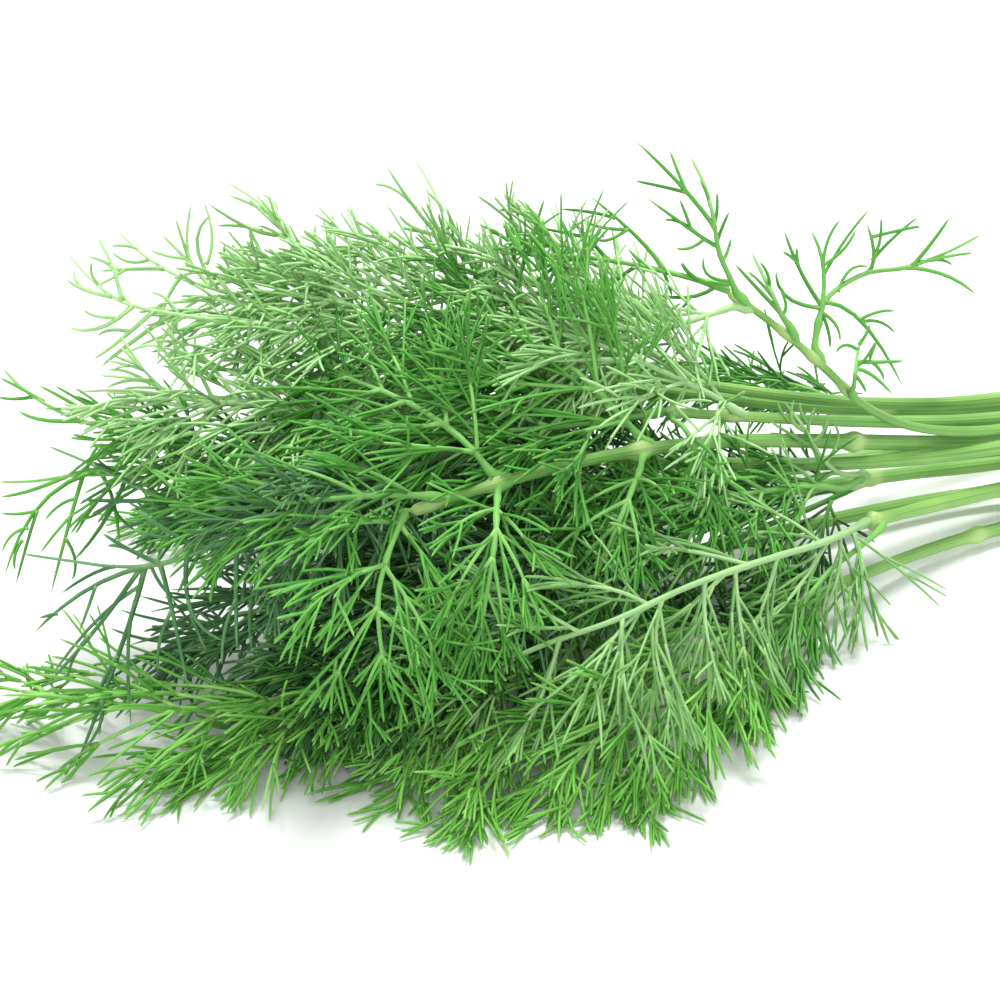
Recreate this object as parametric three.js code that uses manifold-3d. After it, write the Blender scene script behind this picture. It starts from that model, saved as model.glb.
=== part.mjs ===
// A bunch of fresh dill lying on its side.
//
// Twelve cut shoots lie together.  Their bare stems run side by side towards
// +X, where the cut ends are, and their feathery leaves spread towards -X and
// down on to the surface on both sides.  Each stem is one solid and each leaf
// is one solid: a leaf stalk and midrib with its side ribs (pinnae) grown on
// it.  The thread-like last divisions of a leaf are finer than this model.
//
// Units are millimetres, +Z is up.  The origin is the middle of the footprint,
// on the surface that the bunch lies on.

import * as THREE from 'three';
import { mergeVertices } from 'three/addons/utils/BufferGeometryUtils.js';
import Module from 'manifold-3d';

const wasm = await Module();
wasm.setup();

// ---------------------------------------------------------------- dimensions
const STEM_SIDES = 7;         // a stem is a round stalk, drawn with flats
const RIB_SIDES = 4;          // midrib of a leaf
const RIB_TAPER = 0.7;        // radius at a leaf's end over radius at its base
const PINNA_SIDES = 3;        // side rib of a leaf
const PINNA_RADIUS = 0.36;    // side rib at the midrib
const PINNA_TIP = 0.28;       // side rib at its end
const PINNA_FORWARD = 0.30;   // how much a side rib bends towards the leaf's end
const PINNA_ONE_STEP = 17;  // side ribs shorter than this are drawn straight
const PINNA_LEAST = 12.5;      // side ribs shorter than this are left to the fine model
const SURFACE_CLEARANCE = 0.5; // lowest centre line of a side rib

// leaf colours, from the powdery front leaf to the blue-green one at the left
const TINTS = {
  mid: 0x4f9a3a, pale: 0x86b878, blue: 0x2f6f45, light: 0x79b86a, fresh: 0x62ad42, deep: 0x3a8430,
};
const STEM_TINT = 0x86b85c;

// ---------------------------------------------------------------- growth table
// Stems: radius at the cut end and at the tip, and the centre line from the cut
// end to the tip.
// Leaves: the stem that carries the leaf, its colour, the midrib radius at the
// base, how far its side ribs sag, the way its blade faces, the centre line of
// stalk and midrib, and its side ribs as
// [place along the midrib 0..1, side, length, angle from the midrib, lift], in
// millimetres and degrees, or, for a rib that takes its own way, as
// [place along the midrib 0..1, x, y, z of its bend, x, y, z of its end].
const STEMS = {
  stem_01: { cut: 1.75, tip: 0.7, path: [[125.37, 3.53, 8.95], [110.41, 2.91, 9.62], [95.46, 2.27, 10.24], [80.51, 1.51, 10.74], [65.57, 0.61, 11.06], [50.7, -0.55, 11.57], [36.04, -2.25, 13.11], [21.79, -4.75, 16.38], [7.88, -7.89, 20.68], [-5.78, -11.77, 25.32], [-19.39, -15.94, 29.84], [-33.09, -20.3, 33.67], [-47.08, -24.16, 36.1], [-61.46, -26.49, 36.49], [-75.92, -27.26, 34.95]] },
  stem_02: { cut: 1.65, tip: 0.95, path: [[123.37, -6.47, 3.95], [107.9, -6.04, 5.05], [92.42, -5.73, 6.05], [76.93, -5.74, 6.81], [61.44, -6.15, 7.28], [46.01, -7.15, 7.74], [30.78, -9.2, 8.67], [15.97, -12.89, 10.49], [1.6, -17.88, 12.95]] },
  stem_03: { cut: 1.4, tip: 0.48, path: [[127.37, 7.53, 13.95], [116.64, 6.73, 14.72], [105.91, 5.91, 15.48], [95.2, 4.95, 16.16], [84.51, 3.68, 16.65], [73.88, 1.99, 16.85], [63.3, -0.08, 16.79], [52.77, -2.32, 16.68], [42.25, -4.48, 16.86], [31.77, -6.29, 17.79], [21.52, -7.65, 19.92], [11.9, -8.91, 23.54], [3.58, -10.23, 29.16], [-3.35, -10.93, 36.45], [-10.57, -9.53, 43.55], [-18.12, -6.25, 49.95]] },
  stem_04: { cut: 1.6, tip: 0.7, path: [[121.37, -0.47, 4.95], [106, -0.48, 5.68], [90.63, -0.46, 6.33], [75.26, -0.41, 6.81], [59.89, -0.34, 7.12], [44.58, -0.53, 7.71], [29.47, -1.58, 9.27], [14.74, -4.21, 11.98], [0.38, -8.32, 15.12], [-14.03, -12.51, 18.13], [-28.71, -16.01, 20.77], [-43.61, -18.87, 22.95]] },
  stem_05: { cut: 1.7, tip: 0.7, path: [[128.37, 11.53, 8.95], [113.5, 9.66, 10.61], [98.62, 7.76, 12.17], [83.73, 5.77, 13.45], [68.84, 3.64, 14.33], [53.98, 1.37, 15.08], [39.23, -1.05, 16.45], [24.76, -3.7, 19.25], [10.61, -6.79, 23.18], [-3.19, -10.42, 27.68], [-17.11, -13.12, 32.1], [-31.38, -14.05, 35.95]] },
  stem_06: { cut: 1.45, tip: 0.7, path: [[124.37, 16.53, 10.95], [109.35, 14.8, 12.42], [94.31, 13.11, 13.69], [79.23, 11.56, 14.41], [64.15, 10.14, 14.49], [49.13, 8.61, 14.74], [34.36, 6.53, 16.43], [19.96, 3.78, 19.85], [5.73, 1.04, 24.16], [-8.48, -1.01, 28.99], [-22.67, -2.47, 34.1], [-37, -3.21, 38.95]] },
  stem_07: { cut: 1.5, tip: 0.7, path: [[127.37, -17.47, 1.55], [112.51, -16.5, 1.58], [97.65, -15.44, 1.61], [82.82, -14.14, 1.67], [68.02, -12.52, 1.77], [53.26, -10.93, 1.91], [38.53, -10.24, 2.15], [23.98, -11.61, 2.62], [9.86, -15.42, 3.59], [-3.67, -21.05, 5.12], [-16.55, -28.11, 7], [-28.91, -36.09, 8.95]] },
  stem_08: { cut: 1.55, tip: 0.7, path: [[119.37, 6.53, 1.75], [103.92, 6.14, 2.76], [88.47, 5.8, 3.71], [73.01, 5.57, 4.52], [57.55, 5.45, 5.25], [42.13, 5.35, 6.33], [26.8, 5.09, 8.22], [11.58, 4.39, 10.77], [-3.57, 3.02, 13.54], [-18.67, 1.06, 16.02], [-33.84, -0.82, 17.86], [-49.14, -1.85, 18.95]] },
  stem_09: { cut: 1.45, tip: 0.7, path: [[121.37, 21.53, 5.95], [106.92, 19.84, 7], [92.46, 18.22, 7.94], [77.97, 16.8, 8.61], [63.46, 15.64, 8.97], [49, 14.55, 9.66], [34.72, 13.17, 11.64], [20.7, 11.37, 14.91], [6.88, 9.39, 18.97], [-6.88, 7.93, 23.32], [-20.75, 7.78, 27.56], [-34.69, 8.61, 31.49], [-48.64, 10.2, 34.98], [-62.47, 13.12, 37.95]] },
  stem_10: { cut: 1.5, tip: 0.7, path: [[126.37, -2.47, 12.95], [111.06, -2.35, 13.87], [95.76, -2.42, 14.68], [80.46, -3.03, 15.17], [65.2, -4.32, 15.27], [49.98, -6.01, 15.18], [34.76, -7.57, 15.37], [19.57, -8.61, 16.51], [4.53, -9.82, 18.73], [-10.3, -11.26, 21.97], [-25.02, -11.92, 25.36], [-39.64, -10.25, 27.96], [-53.8, -5.68, 29.23], [-67.24, 1.05, 29.17], [-79.83, 9.31, 27.95]] },
  stem_11: { cut: 1.55, tip: 0.7, path: [[120.37, -10.47, 1.65], [105.55, -9.93, 2.14], [90.76, -9.04, 2.56], [76.07, -7.26, 2.79], [61.55, -4.45, 2.8], [47.08, -1.48, 2.74], [32.48, 0.33, 2.87], [17.77, 0.39, 3.34], [3.09, -0.88, 4.1], [-11.43, -3.43, 5.11], [-25.77, -6.96, 6.08], [-40.06, -10.71, 6.63], [-54.51, -13.76, 6.58], [-69.09, -15.97, 5.95]] },
  stem_12: { cut: 1.55, tip: 0.7, path: [[123.37, 24.53, 1.55], [108.74, 22.77, 1.75], [94.11, 21.04, 1.97], [79.47, 19.39, 2.24], [64.82, 17.92, 2.6], [50.14, 16.92, 3.01], [35.43, 16.58, 3.48], [20.72, 16.85, 3.97], [6.03, 17.63, 4.48], [-8.64, 18.87, 5.02], [-23.25, 20.56, 5.6], [-37.79, 22.8, 6.26], [-52.23, 25.56, 7.04], [-66.63, 28.53, 7.95]] },
};
const LEAVES = {
  leaf_01: { stem: 'stem_01', tint: 'mid', rib: 0.54, sag: 0.24, face: [-0.174, -0.678, 0.714],
    path: [[-38.65, -21.55, 36.54], [-42.45, -20.75, 41.38], [-45.94, -17.82, 45.53], [-49.17, -13.22, 48.42], [-52.38, -7.77, 49.97], [-55.56, -2.04, 50.95]],
    pinnae: [[0.129, 1, 14.9, 53, -1], [0.118, -1, 15.1, 40, 7], [0.334, 1, 18.1, 43, 6], [0.319, -1, 18.2, 40, 8], [0.537, 1, 16.4, 38, -1], [0.541, -1, 15.4, 37, 4], [0.763, 1, 11.9, 37, 11], [0.713, -1, 11.9, 31, -3], [0.956, 1, 6.2, 30, 11], [0.912, -1, 5.9, 30, 10]] },
  leaf_02: { stem: 'stem_01', tint: 'mid', rib: 0.54, sag: 0.22, face: [-0.401, -0.441, 0.803],
    path: [[-39.32, -23.98, 34.76], [-42.16, -28.57, 34.98], [-45.16, -32.57, 34.46], [-48.07, -35.01, 31.49], [-50.46, -35.73, 26.99], [-52.42, -35.43, 21.95]],
    pinnae: [[0.27, 1, 8, 41, 24], [0.278, -1, 7.3, 43, 9], [0.448, 1, 8, 34, -8], [0.459, -1, 9.3, 43, 9], [0.611, 1, 9.3, 37, -4], [0.616, -1, 8, 34, -5], [0.782, 1, 6.3, 28, -2], [0.783, -1, 5.9, 27, 0], [0.948, 1, 3.3, 21, 32], [0.911, -1, 3.2, 31, 19]] },
  leaf_03: { stem: 'stem_01', tint: 'mid', rib: 0.54, sag: 0.29, face: [-0.174, -0.369, 0.913],
    path: [[-63.31, -26.1, 38.02], [-66.3, -23.41, 42.02], [-69.37, -19.1, 44.46], [-72.2, -13.87, 45.4], [-74.73, -8.22, 45.34], [-77.16, -2.44, 44.95]],
    pinnae: [[0.133, 1, 14.9, 45, 6], [0.113, -1, 14.6, 41, 8], [0.346, 1, 17.8, 44, -13], [0.318, -1, 17.9, 50, -7], [0.571, 1, 16.8, 41, -17], [0.527, -1, 14.4, 37, 9], [0.732, 1, 12.5, 31, -10], [0.713, -1, 10.4, 34, 9], [0.953, 1, 5.7, 28, -13], [0.913, -1, 5.8, 18, 6]] },
  leaf_04: { stem: 'stem_01', tint: 'mid', rib: 0.54, sag: 0.33, face: [0.113, -0.751, 0.65],
    path: [[-63.04, -28.34, 36.58], [-65.67, -33.42, 36.81], [-67.61, -38.2, 36.34], [-69.36, -41.02, 33.02], [-70.65, -41.91, 27.79], [-71.64, -42.3, 21.95]],
    pinnae: [[0.232, 1, 7.6, 38, 13], [0.23, -1, 8.7, 44, -3], [0.408, 1, 9.2, 37, 6], [0.421, -1, 10.4, 30, -9], [0.584, 1, 8.5, 23, -2], [0.583, -1, 10.2, 34, 2], [0.763, 1, 6.6, 33, 6], [0.761, -1, 6.3, 33, -6], [0.924, 1, 3.7, 21, -2], [0.925, -1, 3.8, 28, 22]] },
  leaf_05: { stem: 'stem_01', tint: 'mid', rib: 0.54, sag: 0.31, face: [0.132, -0.76, 0.636],
    path: [[-76.73, -27.3, 34.86], [-79.76, -31.48, 33.95], [-82.59, -35.35, 32.27], [-84.72, -38.49, 29.33], [-85.25, -40.25, 24.9], [-84.93, -41.21, 19.95]],
    pinnae: [[0.097, 1, 15, 66, 1], [0.084, -1, 14.3, 51, 4], [0.412, 1, 13.5, 53, 6], [0.401, -1, 13.3, 49, 13], [0.681, 1, 10.6, 53, 20], [0.652, -1, 11, 36, -13], [0.947, 1, 5.7, 30, 9], [0.916, -1, 5.4, 41, -9]] },
  leaf_06: { stem: 'stem_01', tint: 'mid', rib: 0.54, sag: 0.22, face: [-0.379, -0.694, 0.612],
    path: [[-73.4, -27.27, 36.95], [-78.96, -27.18, 38.17], [-84.6, -25.93, 38.23], [-89.83, -23.28, 37.45], [-94.52, -19.8, 35.89], [-98.88, -15.97, 33.95]],
    pinnae: [[0.105, 1, 8.8, 26, -14], [0.081, -1, 8.4, 29, 12], [0.317, 1, 10.3, 28, 18], [0.315, -1, 10.4, 35, 2], [0.55, 1, 10.1, 23, 6], [0.546, -1, 11.3, 26, 6], [0.735, 1, 6.7, 28, -6], [0.709, -1, 7, 30, 14], [0.932, 1, 4.1, 23, 0], [0.937, -1, 4.3, 20, 6]] },
  leaf_07: { stem: 'stem_02', tint: 'pale', rib: 0.62, sag: 0.41, face: [0.042, -0.473, 0.88],
    path: [[0.95, -18.1, 13.06], [-6.92, -25.08, 16.2], [-15.23, -31.52, 19.34], [-23.91, -37.41, 22.55], [-33.23, -42.59, 25.05], [-43.33, -46.51, 26.17], [-53.49, -46.55, 23.47], [-62.5, -42.34, 19.07], [-71.55, -38.76, 14.18], [-77.65, -30.82, 9.95]],
    pinnae: [[0.075, -3.79, -26.06, 11.69, -6.87, -30.77, 7.12], [0.121, -9.08, -28.43, 11.48, -12.79, -30.95, 6.8], [0.17, -17.73, -32.68, 13.88, -25.85, -38.57, 12.63], [0.196, -16.36, -28.28, 21.32, -19.23, -26.7, 23.1], [0.34, -26.54, -39.37, 18.49, -28.89, -40.96, 14.61], [0.45, -34.04, -44.78, 20.57, -34.54, -48.52, 14.67], [0.419, -37.34, -39, 26.55, -42.88, -37.64, 27.8], [0.472, -40.35, -43.76, 21.55, -44.79, -43.36, 18.14], [0.594, -48.92, -49.91, 19.5, -48.9, -54.7, 14.28], [0.616, -54.45, -47.56, 21.02, -58.94, -50.53, 16.91], [0.616, -52.52, -43.99, 26.52, -56.91, -42.1, 27.09], [0.722, -61.25, -42.68, 23.48, -64.34, -41.22, 25.56], [0.752, -63.71, -46.23, 14.75, -67.81, -48.74, 10.78], [0.818, -69.13, -38.2, 19.43, -71.63, -34.85, 22.29], [0.828, -70.61, -42.22, 12.12, -74.91, -43.75, 7.91], [0.516, -40.96, -48.52, 21.71, -41.41, -51.94, 18.14], [0.656, -53.98, -49.97, 18.3, -54.36, -53.65, 14.15], [0.902, -76.05, -38.4, 11.18, -81.79, -38.73, 7.87], [0.958, -77.55, -36.06, 8.21, -78.37, -38.14, 5.88], [0.891, -73.82, -36.59, 16.88, -75.8, -34.9, 18.78]] },
  leaf_08: { stem: 'stem_02', tint: 'mid', rib: 0.54, sag: 0.26, face: [0.168, -0.611, 0.774],
    path: [[2.86, -19.37, 12.09], [-2.74, -23.19, 12.14], [-8.86, -26.59, 11.81], [-14.79, -30.32, 10.36], [-20.78, -33.76, 8.19], [-26.74, -37.04, 5.59], [-32.5, -40.67, 2.95]],
    pinnae: [[0.435, 1, 3.8, 34, -10], [0.412, -1, 3.8, 36, 3], [0.54, 1, 9.7, 25, 16], [0.539, -1, 8.6, 33, 4], [0.636, 1, 11.4, 36, -7], [0.616, -1, 10.3, 19, 37], [0.742, 1, 8.9, 23, 11], [0.737, -1, 10.7, 25, 11], [0.85, 1, 6.4, 16, 23], [0.835, -1, 7.7, 24, 4], [0.922, 1, 3.8, 19, 27], [0.936, -1, 4, 22, 3]] },
  leaf_09: { stem: 'stem_03', tint: 'mid', rib: 0.54, sag: 0.44, face: [0.124, -0.401, 0.908],
    path: [[-18.63, -6.03, 50.39], [-23.96, -1.67, 51.52], [-30.31, 0.29, 53.37], [-36.99, 0.56, 55.39], [-43.8, 0.44, 56.98], [-50.7, 1.16, 57.95]],
    pinnae: [[0.266, -28.79, 1.55, 56.54, -35.06, 5.8, 62.84], [0.52, -36.36, 2.63, 57.31, -38.48, 4.8, 59.96], [0.748, -44.26, 2.35, 58.66, -47.48, 3.7, 59.58], [0.03, -23.61, -5.19, 49.3, -29.04, -3.61, 50.03], [0.63, -41.65, 1.36, 55.17, -46.2, 1.8, 54.15], [0.379, -32.09, 0.42, 51.78, -34.63, 0.41, 49.64]] },
  leaf_10: { stem: 'stem_03', tint: 'mid', rib: 0.54, sag: 0.3, face: [0.089, -0.943, 0.32],
    path: [[-17.22, -7.94, 49.94], [-20.02, -10.37, 54.28], [-22.58, -11.97, 59.05], [-23.35, -11.22, 64.37], [-22.93, -6.95, 67.81], [-22.66, -1.67, 69.95]],
    pinnae: [[0.53, -26.71, -8.35, 67.91, -32.65, -4.86, 74.63], [0.434, -25.05, -10.66, 61.31, -31.4, -6.02, 66.37]] },
  leaf_11: { stem: 'stem_03', tint: 'mid', rib: 0.54, sag: 0.21, face: [-0.276, -0.8, 0.533],
    path: [[-4.8, -9.89, 39.97], [-2.65, -7.92, 46.13], [3.63, -7.8, 49.49], [8.63, -12.15, 51.64], [15.5, -12.02, 52.98], [22.44, -9.97, 53.95]],
    pinnae: [[0.17, -7.9, -5.9, 46.99, -9.17, -4.41, 50.97], [0.178, -5.12, -4.71, 50.11, -6.48, -1.26, 55.74], [0.176, -1.6, -4.96, 50.77, -1.94, -1.31, 54.89], [0.418, 5.38, -7.79, 52.23, 4.94, -5.86, 56.7], [0.622, 12.36, -11.93, 54.52, 15.67, -11.51, 58.32], [0.595, 13.38, -15.11, 50.8, 16.49, -18.82, 48.73], [0.196, 1.9, -11.56, 43.62, 5.5, -18.34, 35.58]] },
  leaf_12: { stem: 'stem_03', tint: 'mid', rib: 0.54, sag: 0.27, face: [-0.241, -0.942, -0.234],
    path: [[0.44, -12.2, 32.77], [-1.53, -16.2, 35.42], [-3.69, -20.12, 37.99], [-5.24, -22.97, 41.12], [-2.77, -18.82, 41.89], [0.1, -14.64, 42.95]],
    pinnae: [[0.747, -0.13, -21.06, 41.54, 3.37, -21.95, 41.47], [0.674, -2.36, -22.83, 40.61, -0.32, -25.41, 38.33]] },
  leaf_13: { stem: 'stem_04', tint: 'deep', rib: 0.54, sag: 0.23, face: [0.045, -0.697, 0.715],
    path: [[7.66, -4.82, 11.94], [1.39, -3.29, 8.95], [-6.06, -4.14, 7.92], [-13.95, -5.67, 7.75], [-22.02, -7.25, 7.96], [-30.11, -9, 8.39], [-38.18, -10.86, 8.95]],
    pinnae: [[0.121, 1, 13.5, 50, 19], [0.084, -1, 15.6, 45, 4], [0.275, 1, 17.8, 51, 4], [0.243, -1, 17.2, 44, 27], [0.391, 1, 18.5, 52, 11], [0.398, -1, 15.8, 38, 5], [0.544, 1, 15.8, 44, 1], [0.52, -1, 17.2, 43, 13], [0.667, 1, 14.2, 36, 2], [0.661, -1, 12.7, 34, 6], [0.813, 1, 10, 27, 22], [0.799, -1, 8.3, 31, 13], [0.94, 1, 5.9, 38, 2], [0.934, -1, 6.2, 21, 20]] },
  leaf_14: { stem: 'stem_04', tint: 'deep', rib: 0.54, sag: 0.4, face: [-0.108, -0.586, 0.803],
    path: [[-44.23, -18.98, 23.04], [-51.67, -21.81, 23.42], [-59.08, -24.76, 22.26], [-66.53, -26.98, 20.65], [-73.99, -27.99, 18.15], [-81.2, -27.96, 14.76], [-88.26, -27.43, 10.95]],
    pinnae: [[0.091, 1, 11.3, 19, 53], [0.072, -1, 15.1, 61, -8], [0.235, 1, 18, 48, -15], [0.219, -1, 17.9, 55, -8], [0.384, 1, 17.6, 41, 25], [0.365, -1, 17.9, 55, 0], [0.517, 1, 15.2, 59, 3], [0.502, -1, 17.6, 44, 6], [0.652, 1, 16.5, 40, 21], [0.64, -1, 15, 48, 11], [0.795, 1, 10.7, 44, 18], [0.781, -1, 9.3, 39, 3], [0.948, 1, 5.8, 24, 30], [0.923, -1, 6.4, 34, -1]] },
  leaf_15: { stem: 'stem_04', tint: 'mid', rib: 0.54, sag: 0.35, face: [0.364, -0.569, 0.738],
    path: [[4.69, -8.87, 15.28], [-0.55, -13.49, 16.99], [-6.72, -16.47, 20.03], [-13.38, -19.08, 22.24], [-20.34, -21.32, 23.96], [-27.48, -23.24, 25.28], [-34.76, -24.93, 26.22], [-42.09, -26.56, 26.75], [-49.4, -28.34, 26.95]],
    pinnae: [[0.268, 1, 6, 31, 7], [0.246, -1, 7.1, 44, 6], [0.346, 1, 9.6, 41, 0], [0.333, -1, 9.3, 35, -13], [0.466, 1, 11.7, 40, 18], [0.456, -1, 11.8, 38, 6], [0.564, 1, 11.4, 40, -2], [0.551, -1, 13.7, 32, -2], [0.645, 1, 12, 37, 16], [0.642, -1, 10.6, 28, 12], [0.755, 1, 10, 25, -2], [0.718, -1, 9.5, 36, 11], [0.857, 1, 5.8, 31, -6], [0.824, -1, 6.9, 27, 11], [0.929, 1, 4.5, 29, 15], [0.942, -1, 4.4, 29, 6]] },
  leaf_16: { stem: 'stem_05', tint: 'light', rib: 0.54, sag: 0.29, face: [0.291, -0.497, 0.818],
    path: [[-20.19, -14.37, 34.44], [-25.47, -16.19, 38.81], [-31.41, -16.18, 42.6], [-37.33, -13.66, 45.77], [-43.34, -10.01, 48.11], [-49.37, -5.91, 49.95]],
    pinnae: [[0.113, 1, 13.4, 51, 2], [0.102, -1, 15, 46, 2], [0.337, 1, 15.5, 40, 12], [0.336, -1, 15.5, 39, 9], [0.557, 1, 15.9, 36, 10], [0.525, -1, 14.4, 35, -6], [0.751, 1, 11.2, 37, -13], [0.748, -1, 12.5, 26, 4], [0.958, 1, 5, 14, -15], [0.912, -1, 6.1, 26, 9]] },
  leaf_17: { stem: 'stem_05', tint: 'mid', rib: 0.54, sag: 0.22, face: [0.116, -0.393, 0.912],
    path: [[-31.98, -14.09, 36.11], [-39.16, -16.16, 37.25], [-46.45, -17.64, 38.36], [-53.86, -18.16, 39.34], [-61.29, -17.46, 39.83], [-68.66, -15.96, 39.95]],
    pinnae: [[0.082, 1, 13.1, 57, -30], [0.067, -1, 13.4, 40, -2], [0.341, 1, 17.5, 47, 18], [0.29, -1, 16.3, 45, 2], [0.543, 1, 14.5, 34, -4], [0.532, -1, 17.1, 32, 4], [0.725, 1, 11, 27, 2], [0.73, -1, 10.7, 17, 12], [0.926, 1, 5.5, 30, -9], [0.938, -1, 5.4, 24, -3]] },
  leaf_18: { stem: 'stem_04', tint: 'pale', rib: 0.54, sag: 0.25, face: [0.456, -0.843, 0.286],
    path: [[6.06, -7.66, 15.72], [2.03, -10.94, 17.5], [-2.06, -12.74, 20.17], [-5.64, -13.9, 24.44], [-8.64, -14.77, 29.44], [-10.08, -10.76, 32.3]],
    pinnae: [[0.627, -9.12, -14.59, 27.42, -15.07, -15.3, 32.19], [0.531, -8.4, -13.66, 23.14, -13.58, -14.43, 24.67], [0.643, -7.25, -13.48, 28.23, -6.57, -14.01, 32.02], [0.37, -4.49, -12.56, 18.44, -7.83, -13.29, 16.36], [0.776, -10.05, -13.46, 30.42, -9.46, -12.67, 33.27], [0.318, -3.07, -12.03, 19.28, -7.49, -12.32, 19.26]] },
  leaf_19: { stem: 'stem_06', tint: 'light', rib: 0.54, sag: 0.31, face: [0.39, -0.527, 0.755],
    path: [[-23.73, -2.45, 36.33], [-28.87, -2.45, 40.37], [-34.38, -2.16, 44.17], [-39.59, -1.07, 48.28], [-44.66, 1.53, 51.87], [-49.57, 5.11, 54.95]],
    pinnae: [[0.108, 1, 15.5, 50, 12], [0.108, -1, 15.4, 55, 5], [0.36, 1, 16.5, 55, 16], [0.319, -1, 15.7, 52, 6], [0.57, 1, 15.9, 50, -1], [0.525, -1, 17, 46, 8], [0.757, 1, 10.2, 48, -12], [0.743, -1, 11.3, 41, 17], [0.944, 1, 6.1, 32, 26], [0.902, -1, 6.3, 41, -5]] },
  leaf_20: { stem: 'stem_06', tint: 'light', rib: 0.54, sag: 0.35, face: [-0.025, -0.668, 0.744],
    path: [[-37.62, -3.25, 39.16], [-45.29, -0.65, 41.89], [-53, 1.68, 44.67], [-60.7, 3.8, 47.4], [-68.16, 7.05, 49.47], [-75.3, 11.29, 50.95]],
    pinnae: [[0.069, 1, 15.3, 35, -11], [0.056, -1, 15.5, 38, 12], [0.274, 1, 18.5, 37, -6], [0.268, -1, 17.3, 43, 14], [0.445, 1, 18, 42, 4], [0.432, -1, 17.7, 42, 14], [0.617, 1, 15.2, 30, 12], [0.607, -1, 16.5, 35, 1], [0.782, 1, 11.8, 31, 17], [0.768, -1, 10.6, 31, 18], [0.945, 1, 5.9, 33, 24], [0.909, -1, 6.2, 21, 4]] },
  leaf_21: { stem: 'stem_03', tint: 'light', rib: 0.54, sag: 0.27, face: [-0.131, -0.475, 0.87],
    path: [[-17.53, -7.6, 47.69], [-22.27, -8.16, 47.33], [-26.98, -8.55, 46.81], [-31.69, -8.43, 46.22], [-36.31, -7.58, 45.59], [-40.8, -6.19, 44.95]],
    pinnae: [[0.196, 1, 9.9, 53, -6], [0.191, -1, 10, 42, 0], [0.42, 1, 11.6, 13, 6], [0.375, -1, 12.9, 39, 17], [0.586, 1, 12.7, 41, 11], [0.593, -1, 12.2, 25, 3], [0.763, 1, 7, 9, 16], [0.753, -1, 9.2, 28, 0], [0.929, 1, 5, 16, 6], [0.923, -1, 4.6, 25, 9]] },
  leaf_22: { stem: 'stem_07', tint: 'fresh', rib: 0.54, sag: 0.37, face: [-0.218, -0.097, 0.971],
    path: [[-29.43, -36.42, 9.03], [-34.41, -40.73, 8.36], [-39.45, -44.88, 7.41], [-44.56, -48.74, 5.93], [-49.36, -52.67, 3.85], [-53.43, -57.2, 1.55]],
    pinnae: [[0.104, 1, 7.8, 33, -1], [0.083, -1, 7.2, 24, 14], [0.34, 1, 8.9, 34, 11], [0.308, -1, 9.2, 22, 3], [0.536, 1, 7.6, 30, 3], [0.505, -1, 7.8, 26, 21], [0.758, 1, 6.4, 31, 14], [0.718, -1, 5.7, 30, 1], [0.955, 1, 3.2, 14, 2], [0.935, -1, 3, 25, 19]] },
  leaf_23: { stem: 'stem_07', tint: 'fresh', rib: 0.54, sag: 0.34, face: [0.151, -0.47, 0.87],
    path: [[-15.35, -28.98, 5.73], [-18.46, -31.68, 5.37], [-21.98, -34.08, 5.23], [-25.21, -36.86, 4.16], [-28.34, -39.74, 2.7], [-31.48, -42.62, 1.15]],
    pinnae: [[0.171, 1, 7.8, 31, 13], [0.143, -1, 8.2, 33, 9], [0.452, 1, 7.5, 16, 16], [0.414, -1, 7.2, 32, 5], [0.674, 1, 5.3, 22, -2], [0.658, -1, 5.8, 17, -1], [0.949, 1, 2.9, 19, 1], [0.911, -1, 3.1, 26, 5]] },
  leaf_24: { stem: 'stem_07', tint: 'fresh', rib: 0.54, sag: 0.42, face: [-0.004, -0.331, 0.944],
    path: [[-25.44, -34.19, 10.15], [-31.69, -38.43, 12.18], [-38.65, -42.79, 12.6], [-45.75, -47.11, 12.48], [-53.02, -50.63, 11.08], [-60.22, -52.63, 7.63], [-66.97, -54.23, 2.95]],
    pinnae: [[0.167, 1, 12.8, 48, 7], [0.152, -1, 10.7, 43, 0], [0.302, 1, 13.9, 37, 10], [0.278, -1, 14, 45, 0], [0.447, 1, 12.7, 42, -6], [0.405, -1, 12.8, 31, 4], [0.556, 1, 12.6, 33, -5], [0.567, -1, 13.4, 39, -4], [0.691, 1, 11.4, 37, -13], [0.692, -1, 10, 25, 16], [0.804, 1, 7.3, 30, 8], [0.79, -1, 8.1, 19, 4], [0.921, 1, 5, 27, -10], [0.919, -1, 5.2, 30, 9]] },
  leaf_25: { stem: 'stem_08', tint: 'blue', rib: 0.54, sag: 0.27, face: [0.015, -0.287, 0.958],
    path: [[-49.78, -1.89, 19], [-58.19, -5.38, 20.53], [-66.85, -8, 22.15], [-75.86, -8.67, 23.92], [-84.82, -7.43, 25.57], [-93.3, -4.13, 26.93], [-101.24, 0.34, 27.81], [-105.99, 8.05, 28.01], [-109.68, 16.49, 27.95], [-114.13, 24.58, 27.95]],
    pinnae: [[0.679, -109.04, 2.66, 28.5, -114.57, 2.36, 29.91], [0.707, -106.33, 6.59, 31.06, -109.76, 9.6, 33.84], [0.658, -103.15, 2.9, 32.22, -105.06, 5.04, 36.86], [0.617, -101.09, 1.57, 30.85, -104.01, 3.8, 33.24], [0.132, 1, 16, 37, -2], [0.109, -1, 16.1, 33, 10], [0.202, 1, 16.4, 34, 8], [0.182, -1, 16.3, 40, -8], [0.281, 1, 13.9, 32, 7], [0.278, -1, 16.1, 38, 13], [0.381, 1, 15.7, 35, 17], [0.342, -1, 15.4, 27, -11], [0.449, 1, 13.1, 31, 10], [0.405, -1, 13.8, 30, -6], [0.489, 1, 15.1, 17, 5], [0.495, -1, 12.7, 17, -7]] },
  leaf_26: { stem: 'stem_08', tint: 'blue', rib: 0.54, sag: 0.23, face: [-0.113, 0.028, 0.993],
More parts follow.
